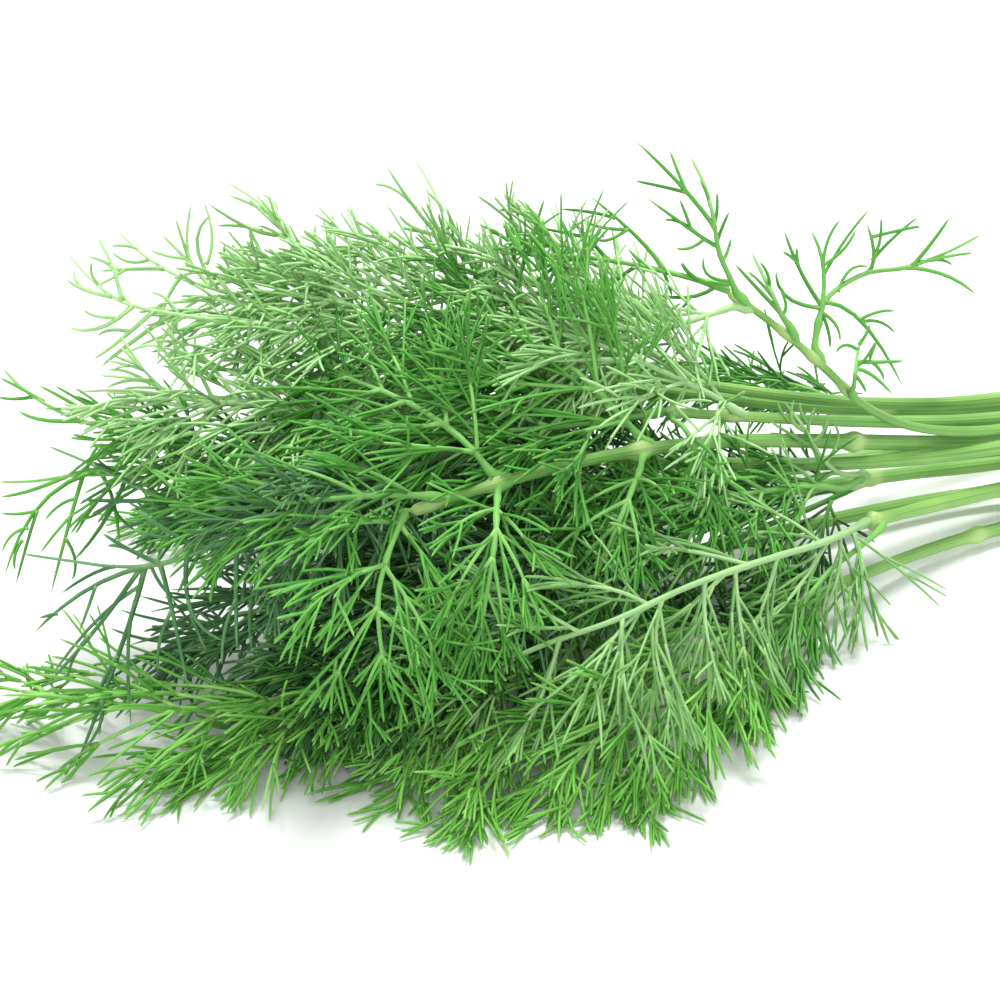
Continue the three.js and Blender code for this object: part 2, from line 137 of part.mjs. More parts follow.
    path: [[-28.73, -2, 17.52], [-35.38, -9.65, 19.52], [-42.64, -16.9, 20.99], [-50.61, -23.37, 22.66], [-60.29, -26.04, 23.81], [-70.23, -23.49, 22.19], [-79.41, -19.35, 19.87], [-88.35, -14.91, 17.17], [-97.6, -11.37, 14.18], [-105.85, -8.01, 8.95]],
    pinnae: [[0.168, 1, 12.6, 47, -13], [0.15, -1, 12.6, 44, 5], [0.273, 1, 15.2, 48, -12], [0.262, -1, 14.3, 41, 3], [0.39, 1, 14.6, 47, -15], [0.366, -1, 12.7, 34, 65], [0.486, 1, 14.2, 38, 1], [0.455, -1, 12.5, 12, 16], [0.582, 1, 13.7, 35, -5], [0.538, -1, 13.8, 37, -4], [0.674, 1, 12.2, 36, 16], [0.669, -1, 12.1, 30, -5], [0.763, 1, 11.8, 28, -6], [0.752, -1, 10.6, 41, -1], [0.842, 1, 7.9, 33, -5], [0.816, -1, 6.7, 36, 17], [0.937, 1, 5.5, 26, -9], [0.912, -1, 5.8, 27, -6]] },
  leaf_27: { stem: 'stem_08', tint: 'blue', rib: 0.54, sag: 0.39, face: [-0.049, -0.459, 0.887],
    path: [[-46.18, -3.37, 18.59], [-52.55, -8.26, 18.72], [-59.39, -12.53, 18.76], [-66.41, -16.39, 18.16], [-73.44, -19.81, 16.5], [-80.4, -22.42, 13.73], [-87.2, -23.65, 9.79], [-93.63, -24.48, 5.06]],
    pinnae: [[0.113, 1, 15, 47, 9], [0.126, -1, 16.3, 41, -15], [0.274, 1, 16.5, 42, -2], [0.229, -1, 14.8, 41, 26], [0.372, 1, 18.8, 39, 7], [0.375, -1, 16.9, 40, -14], [0.478, 1, 16.2, 34, -2], [0.483, -1, 18.1, 42, -9], [0.628, 1, 15.8, 26, 17], [0.587, -1, 14.6, 34, -5], [0.726, 1, 11.7, 23, 26], [0.718, -1, 13.9, 37, 4], [0.836, 1, 8.8, 37, 19], [0.799, -1, 8, 36, 9], [0.937, 1, 7, 34, -4], [0.921, -1, 6.8, 29, 7]] },
  leaf_28: { stem: 'stem_09', tint: 'light', rib: 0.54, sag: 0.32, face: [-0.285, -0.782, 0.554],
    path: [[-63.19, 13.27, 38.11], [-68.26, 16.72, 43.72], [-74.26, 15.72, 49.2], [-75.51, 21.53, 54.96], [-77.64, 28.81, 58.7], [-81.44, 36.12, 60.95]],
    pinnae: [[0.518, -79.75, 21.83, 53.16, -85.35, 24.64, 52.94], [0.666, -80.84, 24.62, 57.34, -87.35, 26.7, 61.98], [0.752, -79.19, 28.55, 59.42, -82.82, 30.63, 60.94], [0.432, -78.92, 18.89, 51.32, -84.54, 20.61, 50.9], [0.396, -71.73, 17.09, 52.47, -71.85, 19.2, 55.49], [0.076, 1, 14.3, 23, 5], [0.089, -1, 12.1, 39, -16], [0.17, 1, 11.7, 40, -5], [0.147, -1, 13.6, 26, -6], [0.274, 1, 10.6, 13, 18], [0.22, -1, 11.1, 24, 0], [0.338, 1, 11.1, 20, 1], [0.299, -1, 11.4, 20, 28], [0.389, 1, 11.5, 17, 6], [0.406, -1, 11.2, 13, 7]] },
  leaf_29: { stem: 'stem_09', tint: 'light', rib: 0.54, sag: 0.37, face: [-0.155, -0.836, 0.527],
    path: [[-59.41, 13.96, 38.3], [-65.11, 18.25, 41.56], [-72.03, 18.3, 45.61], [-79.26, 16.47, 48.74], [-86.75, 15.89, 51.58], [-93.81, 18.58, 54.24], [-97.64, 25.26, 55.86], [-99.36, 33.12, 56.95]],
    pinnae: [[0.774, -100.2, 23.37, 54.72, -104.43, 24.95, 54.45], [0.635, -92.66, 20.52, 56.37, -95.15, 23.81, 59.25], [0.619, -90.86, 20.16, 58.27, -88.43, 20.52, 62.44], [0.719, -96.44, 17.73, 51.65, -98.49, 15.89, 48.5], [0.579, -91.14, 16.69, 49.46, -95.54, 18.76, 49.02], [0.495, -85.1, 18.61, 52.44, -88.04, 21.07, 54.79], [0.111, 1, 12.6, 34, -1], [0.128, -1, 12.4, 35, -1], [0.228, 1, 11.7, 22, 29], [0.198, -1, 12.6, 22, 2], [0.318, 1, 12.9, 11, -4], [0.281, -1, 12, 17, -6], [0.38, 1, 11.5, 25, 11], [0.359, -1, 10.9, 35, 5], [0.456, 1, 11.4, 12, 3], [0.449, -1, 11.9, 21, 6]] },
  leaf_30: { stem: 'stem_09', tint: 'light', rib: 0.54, sag: 0.34, face: [0.216, -0.783, 0.583],
    path: [[-44.77, 9.23, 35.75], [-49.86, 8.24, 42.33], [-54.09, 7.88, 49.16], [-54.16, 13.06, 55.57], [-53.8, 20.01, 60.26], [-54.45, 27.55, 63.95]],
    pinnae: [[0.581, -57.67, 15.74, 59.22, -61.67, 20.3, 66.48], [0.62, -58.63, 15.79, 57.45, -60.75, 17.18, 59.62], [0.458, -58.07, 11.55, 53.76, -63.76, 12.62, 54.88], [0.394, -57.04, 10.22, 50.45, -62.45, 12.57, 50.38], [0.531, -55.66, 13.64, 57.33, -56.75, 14.83, 60.22], [0.108, 1, 12.1, 33, 11], [0.092, -1, 10.8, 35, 5], [0.201, 1, 10.3, 21, 9], [0.21, -1, 10, 29, -4], [0.295, 1, 9.2, 31, 1], [0.293, -1, 9, 27, -4]] },
  leaf_31: { stem: 'stem_09', tint: 'light', rib: 0.54, sag: 0.28, face: [0.362, -0.318, 0.876],
    path: [[-31.59, 8.57, 32.52], [-37.31, 9, 37.92], [-44.2, 11.16, 41.58], [-50.57, 14.97, 45], [-57.95, 15.76, 48.38], [-63.66, 19.35, 52.3], [-70.46, 23.4, 53.95]],
    pinnae: [[0.784, -63.43, 20.11, 53.48, -65.66, 22.11, 55.79], [0.749, -64.94, 18.7, 50.73, -69.43, 19.34, 51.2], [0.677, -61.01, 18.59, 51.44, -61.99, 20.12, 53.73], [0.114, 1, 14.2, 31, -13], [0.099, -1, 13.8, 41, 11], [0.217, 1, 11.8, 38, 4], [0.236, -1, 13, 29, -9], [0.346, 1, 13.6, 35, -2], [0.303, -1, 11.8, 25, 3], [0.425, 1, 11.9, 24, 1], [0.397, -1, 11, 27, 11], [0.525, 1, 11.8, 27, -11], [0.487, -1, 11, 34, 12], [0.589, 1, 10.5, 25, -5], [0.596, -1, 11.3, 21, 9]] },
  leaf_32: { stem: 'stem_09', tint: 'light', rib: 0.54, sag: 0.35, face: [0.233, -0.395, 0.889],
    path: [[-55.33, 10.26, 37.51], [-61.39, 8.15, 41.56], [-68.46, 7.8, 44.58], [-75.8, 8.47, 46.9], [-83.18, 8.39, 49.13], [-90.57, 7.88, 51.32], [-97.98, 8.41, 53.38], [-104.93, 10.29, 55.69], [-107.65, 17.09, 57.04], [-108.86, 24.66, 57.95]],
    pinnae: [[0.806, -109.31, 13.53, 56.91, -111.54, 15.13, 58.31], [0.779, -105.35, 12.87, 60.36, -106.85, 14.94, 64.04], [0.752, -108.36, 10.13, 52.3, -112.59, 11.53, 52.58], [0.707, -106.02, 8.43, 50.76, -110.14, 7.55, 48.91], [0.672, -104.87, 8.64, 49.69, -108.86, 8.46, 47.2], [0.646, -99.62, 7.85, 50.68, -101.31, 6.13, 47.82], [0.586, -97.16, 8.75, 50.66, -102.87, 9.72, 48.89], [0.133, 1, 12.7, 38, -4], [0.115, -1, 14.1, 46, 21], [0.249, 1, 12.9, 26, -4], [0.225, -1, 12.9, 29, -2], [0.315, 1, 11.4, 23, -5], [0.306, -1, 13.4, 27, 2], [0.428, 1, 11.9, 29, 1], [0.42, -1, 12, 28, 7], [0.492, 1, 10.4, 22, -8], [0.474, -1, 11.8, 20, -6]] },
  leaf_33: { stem: 'stem_10', tint: 'mid', rib: 0.54, sag: 0.31, face: [0.086, -0.483, 0.871],
    path: [[-80.47, 9.73, 27.89], [-88.69, 9.33, 29.86], [-96.81, 9.33, 32.24], [-104.75, 10.05, 35.02], [-112.35, 12.28, 37.76], [-117.57, 18.2, 40.09], [-119.56, 26.32, 40.95]],
    pinnae: [[0.652, -116.73, 14.05, 37.58, -119.69, 15.95, 38.7], [0.558, -112.01, 13.61, 39.31, -116.71, 15.54, 42.49], [0.318, -99.98, 12.35, 35.25, -103.14, 15.23, 39.05], [0.437, -106.54, 10.72, 33.19, -110.73, 11.67, 33.38], [0.113, 1, 11.8, 27, -3], [0.112, -1, 12.3, 21, 16], [0.2, 1, 10.7, 21, 15], [0.175, -1, 11.4, 16, -12], [0.276, 1, 11.7, 17, 17], [0.244, -1, 10.6, 23, -6], [0.361, 1, 11.6, 11, 16], [0.339, -1, 11.4, 22, 8]] },
  leaf_34: { stem: 'stem_10', tint: 'mid', rib: 0.54, sag: 0.6, face: [-0.21, -0.066, 0.975],
    path: [[-78.42, 6.39, 28.62], [-85.78, 4.83, 29.66], [-93.07, 6.2, 29.66], [-99.63, 9.93, 28.74], [-105.9, 14.13, 27.61], [-111.74, 18.55, 25.55], [-116.82, 23.63, 23.06], [-121.27, 29.45, 20.95]],
    pinnae: [[0.648, -117.84, 15.97, 23.02, -124.89, 10.77, 15.47], [0.686, -113.99, 14.1, 20.68, -118.92, 8.21, 12.53], [0.744, -117.89, 20.55, 23.27, -122.36, 21.61, 22.47], [0.637, -107.65, 12.9, 23.33, -108.17, 8.86, 18.3], [0.541, -109.39, 11.45, 21.07, -114.59, 10.79, 15.8], [0.126, 1, 11.3, 30, 1], [0.125, -1, 11.5, 21, -16], [0.211, 1, 11.8, 29, 5], [0.232, -1, 11.3, 24, 6], [0.327, 1, 10.4, 16, 4], [0.295, -1, 11.4, 6, -2], [0.424, 1, 10.1, 19, 6], [0.379, -1, 10.1, 18, -2]] },
  leaf_35: { stem: 'stem_10', tint: 'light', rib: 0.54, sag: 0.37, face: [0.131, -0.616, 0.777],
    path: [[-70.16, 1.73, 30.37], [-76.48, 1.61, 35.04], [-83.23, 1.66, 38.97], [-90.8, 2.41, 40.94], [-98.46, 2.61, 41.9], [-102.45, 8.04, 44.94], [-104.06, 15.45, 46.95]],
    pinnae: [[0.642, -101.86, 4.35, 42.13, -105.6, 6.3, 43.66], [0.628, -99.23, 4.81, 47.25, -103.43, 6.58, 53.88], [0.575, -96.25, 5.1, 46.6, -98.94, 6.58, 51.11], [0.734, -103.92, 6.83, 44.85, -108.73, 7.53, 44.15], [0.499, -93.23, 5.55, 45.08, -95.34, 7.93, 47.88], [0.131, 1, 14.4, 32, 4], [0.093, -1, 13, 28, -2], [0.252, 1, 12.7, 30, 5], [0.214, -1, 14.4, 30, 5], [0.357, 1, 12.8, 28, 8], [0.348, -1, 12, 29, 7], [0.453, 1, 11.9, 15, -7], [0.447, -1, 11.9, 22, -19], [0.54, 1, 12.7, 15, 10], [0.562, -1, 13, 22, 0]] },
  leaf_36: { stem: 'stem_10', tint: 'blue', rib: 0.54, sag: 0.38, face: [-0.241, -0.754, 0.611],
    path: [[-61.48, -3.78, 29.66], [-68.63, -9.53, 32.07], [-74.57, -16.81, 34.66], [-82.2, -22.43, 35.8], [-91.54, -23.58, 34.03], [-100.08, -19.93, 31.43], [-108.11, -15.9, 27.75], [-112.96, -8.36, 24.35], [-117.41, -0.05, 21.85], [-122.68, 7.96, 19.95]],
    pinnae: [[0.671, -112.12, -14.2, 29.81, -115.56, -13.01, 32.57], [0.691, -117.72, -12.58, 24.15, -125.93, -12.93, 19.12], [0.713, -118.17, -15.68, 19.22, -126.44, -19.07, 14.03], [0.705, -114.79, -16.69, 16.62, -124.46, -22.27, 0.64], [0.672, -108.03, -19.19, 22.09, -108.14, -25.66, 13.25], [0.537, -100.32, -24.43, 25.61, -101.84, -28.96, 20.06], [0.534, -97.01, -24.1, 27.08, -94.6, -27.24, 23.2], [0.586, -105.79, -17.27, 31.95, -111.45, -14.25, 36.24], [0.621, -106, -20.36, 23.87, -105.04, -24.72, 18.09], [0.483, -95.16, -25.97, 27.67, -96.32, -30.94, 21.18], [0.159, 1, 16.1, 42, 9], [0.148, -1, 13.4, 45, 4], [0.25, 1, 13.5, 35, -2], [0.207, -1, 15.1, 33, -13], [0.317, 1, 14.5, 24, -7], [0.308, -1, 13.1, 32, 11], [0.392, 1, 11.9, 29, -13], [0.387, -1, 13.3, 29, 1]] },
  leaf_37: { stem: 'stem_11', tint: 'fresh', rib: 0.54, sag: 0.45, face: [-0.033, -0.323, 0.946],
    path: [[-69.74, -16.07, 5.92], [-76.39, -19.69, 6.67], [-83.13, -23.09, 7.35], [-90.17, -25.51, 7.92], [-97.61, -26, 8.49], [-104.91, -24.97, 8.8], [-111.67, -22.07, 8.85], [-117.76, -17.8, 8.51], [-123.2, -12.63, 7.81], [-128.36, -7.13, 6.95]],
    pinnae: [[0.092, 1, 13.3, 26, -4], [0.057, -1, 15.6, 30, 9], [0.209, 1, 17.1, 28, 29], [0.204, -1, 14.3, 36, 5], [0.306, 1, 18.1, 23, 0], [0.31, -1, 17.6, 12, 5], [0.422, 1, 17.6, 23, -3], [0.421, -1, 16.2, 31, 7], [0.528, 1, 16, 40, 5], [0.509, -1, 15.2, 23, 10], [0.621, 1, 13.4, 22, -6], [0.627, -1, 15.1, 29, 13], [0.723, 1, 10.8, 19, -2], [0.716, -1, 11.7, 24, 20], [0.841, 1, 7.7, 22, 11], [0.804, -1, 8.4, 18, -17], [0.924, 1, 6.5, 18, 2], [0.912, -1, 6.6, 20, 13]] },
  leaf_38: { stem: 'stem_11', tint: 'fresh', rib: 0.54, sag: 0.27, face: [-0.095, -0.101, 0.99],
    path: [[-66.61, -17.31, 6.35], [-72.29, -21.6, 6.7], [-78.64, -24.94, 6.77], [-85.41, -27.23, 6.29], [-92.44, -28.2, 5.08], [-99.51, -28.28, 3.39], [-106.55, -27.87, 1.45]],
    pinnae: [[0.112, 1, 9.5, 38, -7], [0.129, -1, 9.5, 32, 26], [0.322, 1, 9.7, 27, 17], [0.311, -1, 10.9, 25, 0], [0.463, 1, 10.5, 27, -2], [0.45, -1, 11.6, 19, 6], [0.614, 1, 9.7, 22, 13], [0.62, -1, 9, 24, 4], [0.801, 1, 6.6, 18, 3], [0.752, -1, 6.3, 29, -8], [0.92, 1, 4.1, 22, 11], [0.94, -1, 3.8, 22, 23]] },
  leaf_39: { stem: 'stem_11', tint: 'fresh', rib: 0.54, sag: 0.37, face: [0.128, -0.344, 0.93],
    path: [[-47.12, -13.99, 7.04], [-52.2, -20.45, 8.42], [-57.67, -26.57, 9.56], [-63.64, -32.14, 9.89], [-70.22, -36.66, 8.66], [-77.02, -39.99, 5.79], [-83.55, -42.4, 1.55]],
    pinnae: [[0.11, 1, 11.9, 39, 8], [0.094, -1, 12.5, 48, 5], [0.263, 1, 14.7, 37, -12], [0.258, -1, 13.7, 49, 2], [0.409, 1, 12.9, 35, 8], [0.422, -1, 13.3, 35, 2], [0.57, 1, 13.3, 36, 4], [0.523, -1, 12.1, 35, 0], [0.698, 1, 10.5, 32, 7], [0.68, -1, 10.8, 17, 12], [0.816, 1, 8.1, 25, 11], [0.814, -1, 7.5, 33, 4], [0.926, 1, 5.3, 29, -6], [0.903, -1, 5.2, 33, 6]] },
  leaf_40: { stem: 'stem_11', tint: 'fresh', rib: 0.54, sag: 0.32, face: [0.386, -0.487, 0.783],
    path: [[-35.01, -11.27, 6.86], [-39.52, -17.17, 8.29], [-44.42, -22.78, 9.67], [-49.55, -28.23, 10.74], [-54.83, -33.56, 11.14], [-60.21, -38.69, 10.35], [-65.6, -43.45, 8.25], [-71.01, -47.85, 5.35], [-76.4, -51.93, 1.95]],
    pinnae: [[0.146, 1, 11.7, 44, 16], [0.112, -1, 13, 43, -1], [0.265, 1, 13.6, 30, 12], [0.24, -1, 14.7, 31, -7], [0.382, 1, 14.5, 36, 6], [0.35, -1, 15.8, 35, 9], [0.509, 1, 14.3, 29, 1], [0.483, -1, 15, 32, -1], [0.607, 1, 14.3, 38, 7], [0.597, -1, 12.3, 39, -2], [0.734, 1, 10.2, 31, 4], [0.691, -1, 11.9, 22, 9], [0.827, 1, 6.7, 24, -7], [0.817, -1, 7.2, 22, 3], [0.957, 1, 5.2, 26, -5], [0.934, -1, 5.7, 27, 5]] },
  leaf_41: { stem: 'stem_12', tint: 'mid', rib: 0.54, sag: 0.23, face: [-0.171, 0.071, 0.983],
    path: [[-67.33, 28.67, 7.99], [-72.15, 32.27, 9.43], [-77.2, 35.8, 9.26], [-82.3, 39.04, 7.6], [-87.46, 41.89, 5.19], [-92.63, 44.53, 2.45]],
    pinnae: [[0.08, 1, 11.3, 68, 10], [0.083, -1, 12.3, 68, 5], [0.334, 1, 13.1, 57, 4], [0.303, -1, 14, 57, -13], [0.522, 1, 12.5, 48, 6], [0.525, -1, 12.7, 52, 16], [0.748, 1, 9, 40, -11], [0.734, -1, 9.1, 44, -21], [0.95, 1, 4.9, 34, -8], [0.914, -1, 4.6, 39, 0]] },
  leaf_42: { stem: 'stem_12', tint: 'deep', rib: 0.54, sag: 0.39, face: [-0.15, -0.069, 0.986],
    path: [[-32.37, 23.53, 7.08], [-38.51, 27.84, 9.66], [-45.18, 31.78, 11.48], [-51.9, 36, 12.07], [-58.41, 40.52, 11.28], [-64.71, 45.01, 9.2], [-70.73, 49.31, 6.04], [-76.63, 53.53, 2.45]],
    pinnae: [[0.117, 1, 13.8, 58, 7], [0.105, -1, 15.9, 55, -12], [0.268, 1, 18.1, 54, 7], [0.247, -1, 18, 58, 18], [0.364, 1, 16.9, 53, 0], [0.362, -1, 19, 53, -1], [0.494, 1, 16.7, 37, 1], [0.466, -1, 15.7, 42, 6], [0.626, 1, 15, 48, 6], [0.605, -1, 17.4, 40, 11], [0.736, 1, 13.3, 50, 10], [0.702, -1, 14.3, 38, 14], [0.819, 1, 9.5, 49, 4], [0.832, -1, 8.5, 42, 4], [0.927, 1, 6.5, 37, 5], [0.935, -1, 6.7, 36, 5]] },
  leaf_43: { stem: 'stem_12', tint: 'deep', rib: 0.54, sag: 0.26, face: [0.187, -0.06, 0.981],
    path: [[-7.9, 17.61, 6.56], [-14.63, 15.62, 10.19], [-21.81, 14.11, 13.24], [-29.25, 12.91, 15.75], [-36.89, 12.06, 17.54], [-44.66, 12.14, 18.5], [-52.31, 13.82, 18.74], [-59.69, 16.64, 18.48], [-66.84, 20.1, 17.95]],
    pinnae: [[0.116, 1, 12.8, 39, 1], [0.104, -1, 13.5, 43, 17], [0.245, 1, 14.1, 36, -4], [0.211, -1, 14, 42, 19], [0.331, 1, 16.4, 31, 20], [0.309, -1, 17.2, 36, 4], [0.452, 1, 15.3, 42, 4], [0.436, -1, 14.4, 41, 5], [0.534, 1, 16.2, 35, -1], [0.51, -1, 15.6, 45, 8], [0.649, 1, 13, 27, 2], [0.644, -1, 13.4, 25, 23], [0.742, 1, 10, 25, 8], [0.735, -1, 10.7, 30, 9], [0.857, 1, 7.3, 34, 7], [0.83, -1, 7.8, 23, 5], [0.95, 1, 6, 23, -7], [0.904, -1, 5.2, 37, 2]] },
  leaf_44: { stem: 'stem_05', tint: 'mid', rib: 0.54, sag: 0.42, face: [-0.069, -0.619, 0.783],
    path: [[-30.9, -15.71, 36.19], [-33.61, -21.34, 38.41], [-34.53, -27.57, 39.88], [-32.64, -29.19, 34.39], [-31.4, -31.97, 28.41], [-30.56, -33.77, 21.95]],
    pinnae: [[0.499, -34.78, -29.8, 34.34, -36.11, -31.55, 30.99], [0.622, -31.66, -32.08, 30.37, -29.2, -35.7, 26.87], [0.557, -30.54, -31.44, 33.67, -27.87, -34.43, 32.05], [0.736, -32.98, -31.82, 27.29, -34.85, -32.05, 23.75], [0.448, -32.12, -29.87, 37.34, -31.57, -31.43, 36.08]] },
  leaf_45: { stem: 'stem_09', tint: 'deep', rib: 0.54, sag: 0.31, face: [-0.37, 0.163, 0.914],
    path: [[-44.59, 11.45, 33.45], [-49.53, 16.97, 33.01], [-54.53, 22.3, 32.02], [-59.41, 27.32, 29.72], [-64.19, 31.96, 26.49], [-68.99, 36.17, 22.67], [-73.81, 39.93, 18.4], [-78.63, 43.53, 13.95]],
    pinnae: [[0.177, 1, 14.3, 59, 3], [0.152, -1, 14.5, 61, -2], [0.317, 1, 17, 62, 13], [0.3, -1, 16.2, 45, -5], [0.437, 1, 16.5, 50, -3], [0.439, -1, 18.1, 49, 9], [0.55, 1, 16.9, 45, 2], [0.569, -1, 16.4, 49, 9], [0.685, 1, 13.4, 40, 0], [0.679, -1, 13.2, 48, 0], [0.799, 1, 10.3, 38, -7], [0.798, -1, 10.1, 47, -5], [0.934, 1, 6.1, 40, 18], [0.923, -1, 6.3, 40, 17]] },
  leaf_46: { stem: 'stem_06', tint: 'deep', rib: 0.54, sag: 0.42, face: [0.042, 0.392, 0.919],
    path: [[-22.12, -0.63, 33.73], [-27.7, 4.76, 35.07], [-33.19, 10.23, 35.77], [-38.5, 15.77, 34.78], [-43.55, 21.16, 32.31], [-48.41, 26.25, 28.83], [-53.06, 30.96, 24.55], [-57.63, 35.53, 19.95]],
    pinnae: [[0.148, 1, 16.4, 53, -6], [0.149, -1, 16.7, 49, 7], [0.301, 1, 17, 48, 6], [0.257, -1, 15.9, 58, 17], [0.406, 1, 16.7, 54, 1], [0.386, -1, 17.9, 51, 19], [0.518, 1, 16.6, 51, -7], [0.49, -1, 18.9, 55, 13], [0.635, 1, 14.8, 50, -20], [0.601, -1, 14.4, 41, 13], [0.738, 1, 11.9, 42, 8], [0.731, -1, 14.1, 47, 13], [0.822, 1, 8.4, 33, -1], [0.837, -1, 9.3, 51, -2], [0.926, 1, 6, 41, -1], [0.906, -1, 6.5, 39, 8]] },
  leaf_47: { stem: 'stem_09', tint: 'mid', rib: 0.54, sag: 0.42, face: [0.213, 0.54, 0.814],
    path: [[19.21, 13.21, 14.93], [13.06, 18.24, 15.46], [6.61, 22.79, 15.97], [-0.55, 26.12, 16.47], [-8.09, 28.66, 16.8], [-15.79, 30.81, 16.86], [-23.49, 32.91, 16.41], [-31.09, 35.18, 15.33], [-38.63, 37.53, 13.95]],
    pinnae: [[0.096, 1, 14.5, 39, 10], [0.075, -1, 13, 48, 16], [0.205, 1, 15.1, 39, 10], [0.181, -1, 13.5, 49, 4], [0.318, 1, 16.2, 38, 1], [0.302, -1, 14.4, 46, 20], [0.412, 1, 16.2, 32, 14], [0.396, -1, 16, 30, 15], [0.523, 1, 15.1, 42, 10], [0.527, -1, 14.8, 37, 0], [0.64, 1, 12.1, 29, 13], [0.627, -1, 12.8, 36, -3], [0.747, 1, 11.3, 37, 6], [0.703, -1, 11.6, 32, -8], [0.837, 1, 7.4, 26, -7], [0.82, -1, 6.6, 31, 1], [0.92, 1, 5.1, 30, 25], [0.911, -1, 5.8, 36, -1]] },
  leaf_48: { stem: 'stem_03', tint: 'mid', rib: 0.54, sag: 0.3, face: [-0.341, -0.667, 0.663],
    path: [[-9.44, -10.51, 44.19], [-11.11, -10.27, 46.53], [-11.97, -9.13, 49.15], [-11.99, -6.48, 50.67], [-11.77, -3.6, 51.8], [-11.56, -0.72, 52.95]],
    pinnae: [[0.232, -14.07, -7.97, 50.3, -17.05, -6.37, 53.98]] },
};

// ---------------------------------------------------------------- geometry
const v3 = (p) => new THREE.Vector3(p[0], p[1], p[2]);

// A centre line that goes straight from each point to the next.
class CentreLine extends THREE.Curve {
  constructor(points) {
    super();
    this.points = points;
  }
  getPoint(t, target = new THREE.Vector3()) {
    const n = this.points.length - 1;
    const k = Math.min(Math.floor(t * n + 1e-9), n - 1);
    return target.lerpVectors(this.points[k], this.points[k + 1], t * n - k);
  }
  getPointAt(u, target) {
    return this.getPoint(u, target);
  }
  getTangentAt(u, target = new THREE.Vector3()) {
    const n = this.points.length - 1;
    const i = Math.round(u * n);
    const a = this.points[Math.max(i - 1, 0)];
    const b = this.points[Math.min(i + 1, n)];
    return target.subVectors(b, a).normalize();
  }
}

function polygon(sides, radius) {
  const corners = [];
  for (let i = 0; i < sides; i++) {
    const a = (2 * Math.PI * i) / sides;
    corners.push(new THREE.Vector2(radius * Math.cos(a), radius * Math.sin(a)));
  }
  return new THREE.Shape(corners);
}

// A closed stalk along a centre line, thinning evenly from r0 to r1.
function stalk(points, sides, r0, r1) {
  const steps = points.length - 1;
  const line = new CentreLine(points);
  const g = new THREE.ExtrudeGeometry(polygon(sides, 1), {
    steps, bevelEnabled: false, extrudePath: line,
  });
  g.deleteAttribute('normal');
  g.deleteAttribute('uv');
  const pos = g.getAttribute('position');
  const v = new THREE.Vector3();
  for (let i = 0; i < pos.count; i++) {
    v.fromBufferAttribute(pos, i);
    let k = 0;
    let best = Infinity;
    for (let j = 0; j <= steps; j++) {
      const d = v.distanceToSquared(points[j]);
      if (d < best) { best = d; k = j; }
    }
    v.sub(points[k]).multiplyScalar(r0 + (r1 - r0) * (k / steps)).add(points[k]);
    pos.setXYZ(i, v.x, v.y, v.z);
  }
  return mergeVertices(g, 1e-4);
}

function solid(g) {
  return new wasm.Manifold(new wasm.Mesh({
    numProp: 3,
    vertProperties: new Float32Array(g.getAttribute('position').array),
    triVerts: new Uint32Array(g.getIndex().array),
  }));
}

function geometry(m) {
  const mesh = m.getMesh();
  const g = new THREE.BufferGeometry();
  g.setAttribute('position', new THREE.BufferAttribute(new Float32Array(mesh.vertProperties), 3));
  g.setIndex(new THREE.BufferAttribute(new Uint32Array(mesh.triVerts), 1));
  g.computeVertexNormals();
  return g;
}

// Centre line of a side rib: it leaves the midrib at its angle, then bends
// towards the leaf's end and sags.
function sideRib(leaf, path, row) {
  const x = row[0] * (path.length - 1);
  const k = Math.min(Math.floor(x), path.length - 2);
  const start = new THREE.Vector3().lerpVectors(path[k], path[k + 1], x - k);
  if (row.length === 7) return [start, v3(row.slice(1, 4)), v3(row.slice(4, 7))];
  const [, side, length, angle, lift] = row;
  const along = new THREE.Vector3().subVectors(path[k + 1], path[k]).normalize();
  const across = new THREE.Vector3().crossVectors(v3(leaf.face), along).normalize();
  const up = new THREE.Vector3().crossVectors(along, across);
  const a = THREE.MathUtils.degToRad(angle);
  const b = THREE.MathUtils.degToRad(lift);
  const out = new THREE.Vector3()
    .addScaledVector(along, Math.cos(a) * Math.cos(b))
    .addScaledVector(across, side * Math.sin(a) * Math.cos(b))
    .addScaledVector(up, Math.sin(b));
  const end = out.clone().addScaledVector(along, PINNA_FORWARD);
  end.z -= leaf.sag;
  end.normalize();
  const p1 = start.clone().addScaledVector(out, 0.5 * length);
  const p2 = p1.clone().addScaledVector(end, 0.5 * length);
  p1.z = Math.max(p1.z, SURFACE_CLEARANCE);
  p2.z = Math.max(p2.z, SURFACE_CLEARANCE);
  return length < PINNA_ONE_STEP ? [start, p2] : [start, p1, p2];
}

// ---------------------------------------------------------------- assembly
const group = new THREE.Group();

function add(name, g, colour) {
  const mesh = new THREE.Mesh(g, new THREE.MeshStandardMaterial({ color: colour, roughness: 0.62, metalness: 0 }));
  mesh.name = name;
  group.add(mesh);
}

for (const [name, stem] of Object.entries(STEMS)) {
  add(name, stalk(stem.path.map(v3), STEM_SIDES, stem.cut, stem.tip), STEM_TINT);
}

for (const [name, leaf] of Object.entries(LEAVES)) {
  const path = leaf.path.map(v3);
  let whole = solid(stalk(path, RIB_SIDES, leaf.rib, leaf.rib * RIB_TAPER));
  for (const rib of leaf.pinnae) {
    if (rib.length === 5 && rib[2] < PINNA_LEAST) continue;
    whole = whole.add(solid(stalk(sideRib(leaf, path, rib), PINNA_SIDES, PINNA_RADIUS, PINNA_TIP)));
  }
  add(name, geometry(whole), TINTS[leaf.tint]);
}

export default group;
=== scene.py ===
# A bunch of fresh dill lying on its side: the fine visual model.
#
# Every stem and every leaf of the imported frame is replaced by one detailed
# piece: ribbed stems with swollen pale joints and cut ends, and feathery leaves
# whose midrib, side ribs and thread-like last divisions are all real geometry.
# Lengths in the growth table are millimetres; Blender's are metres.

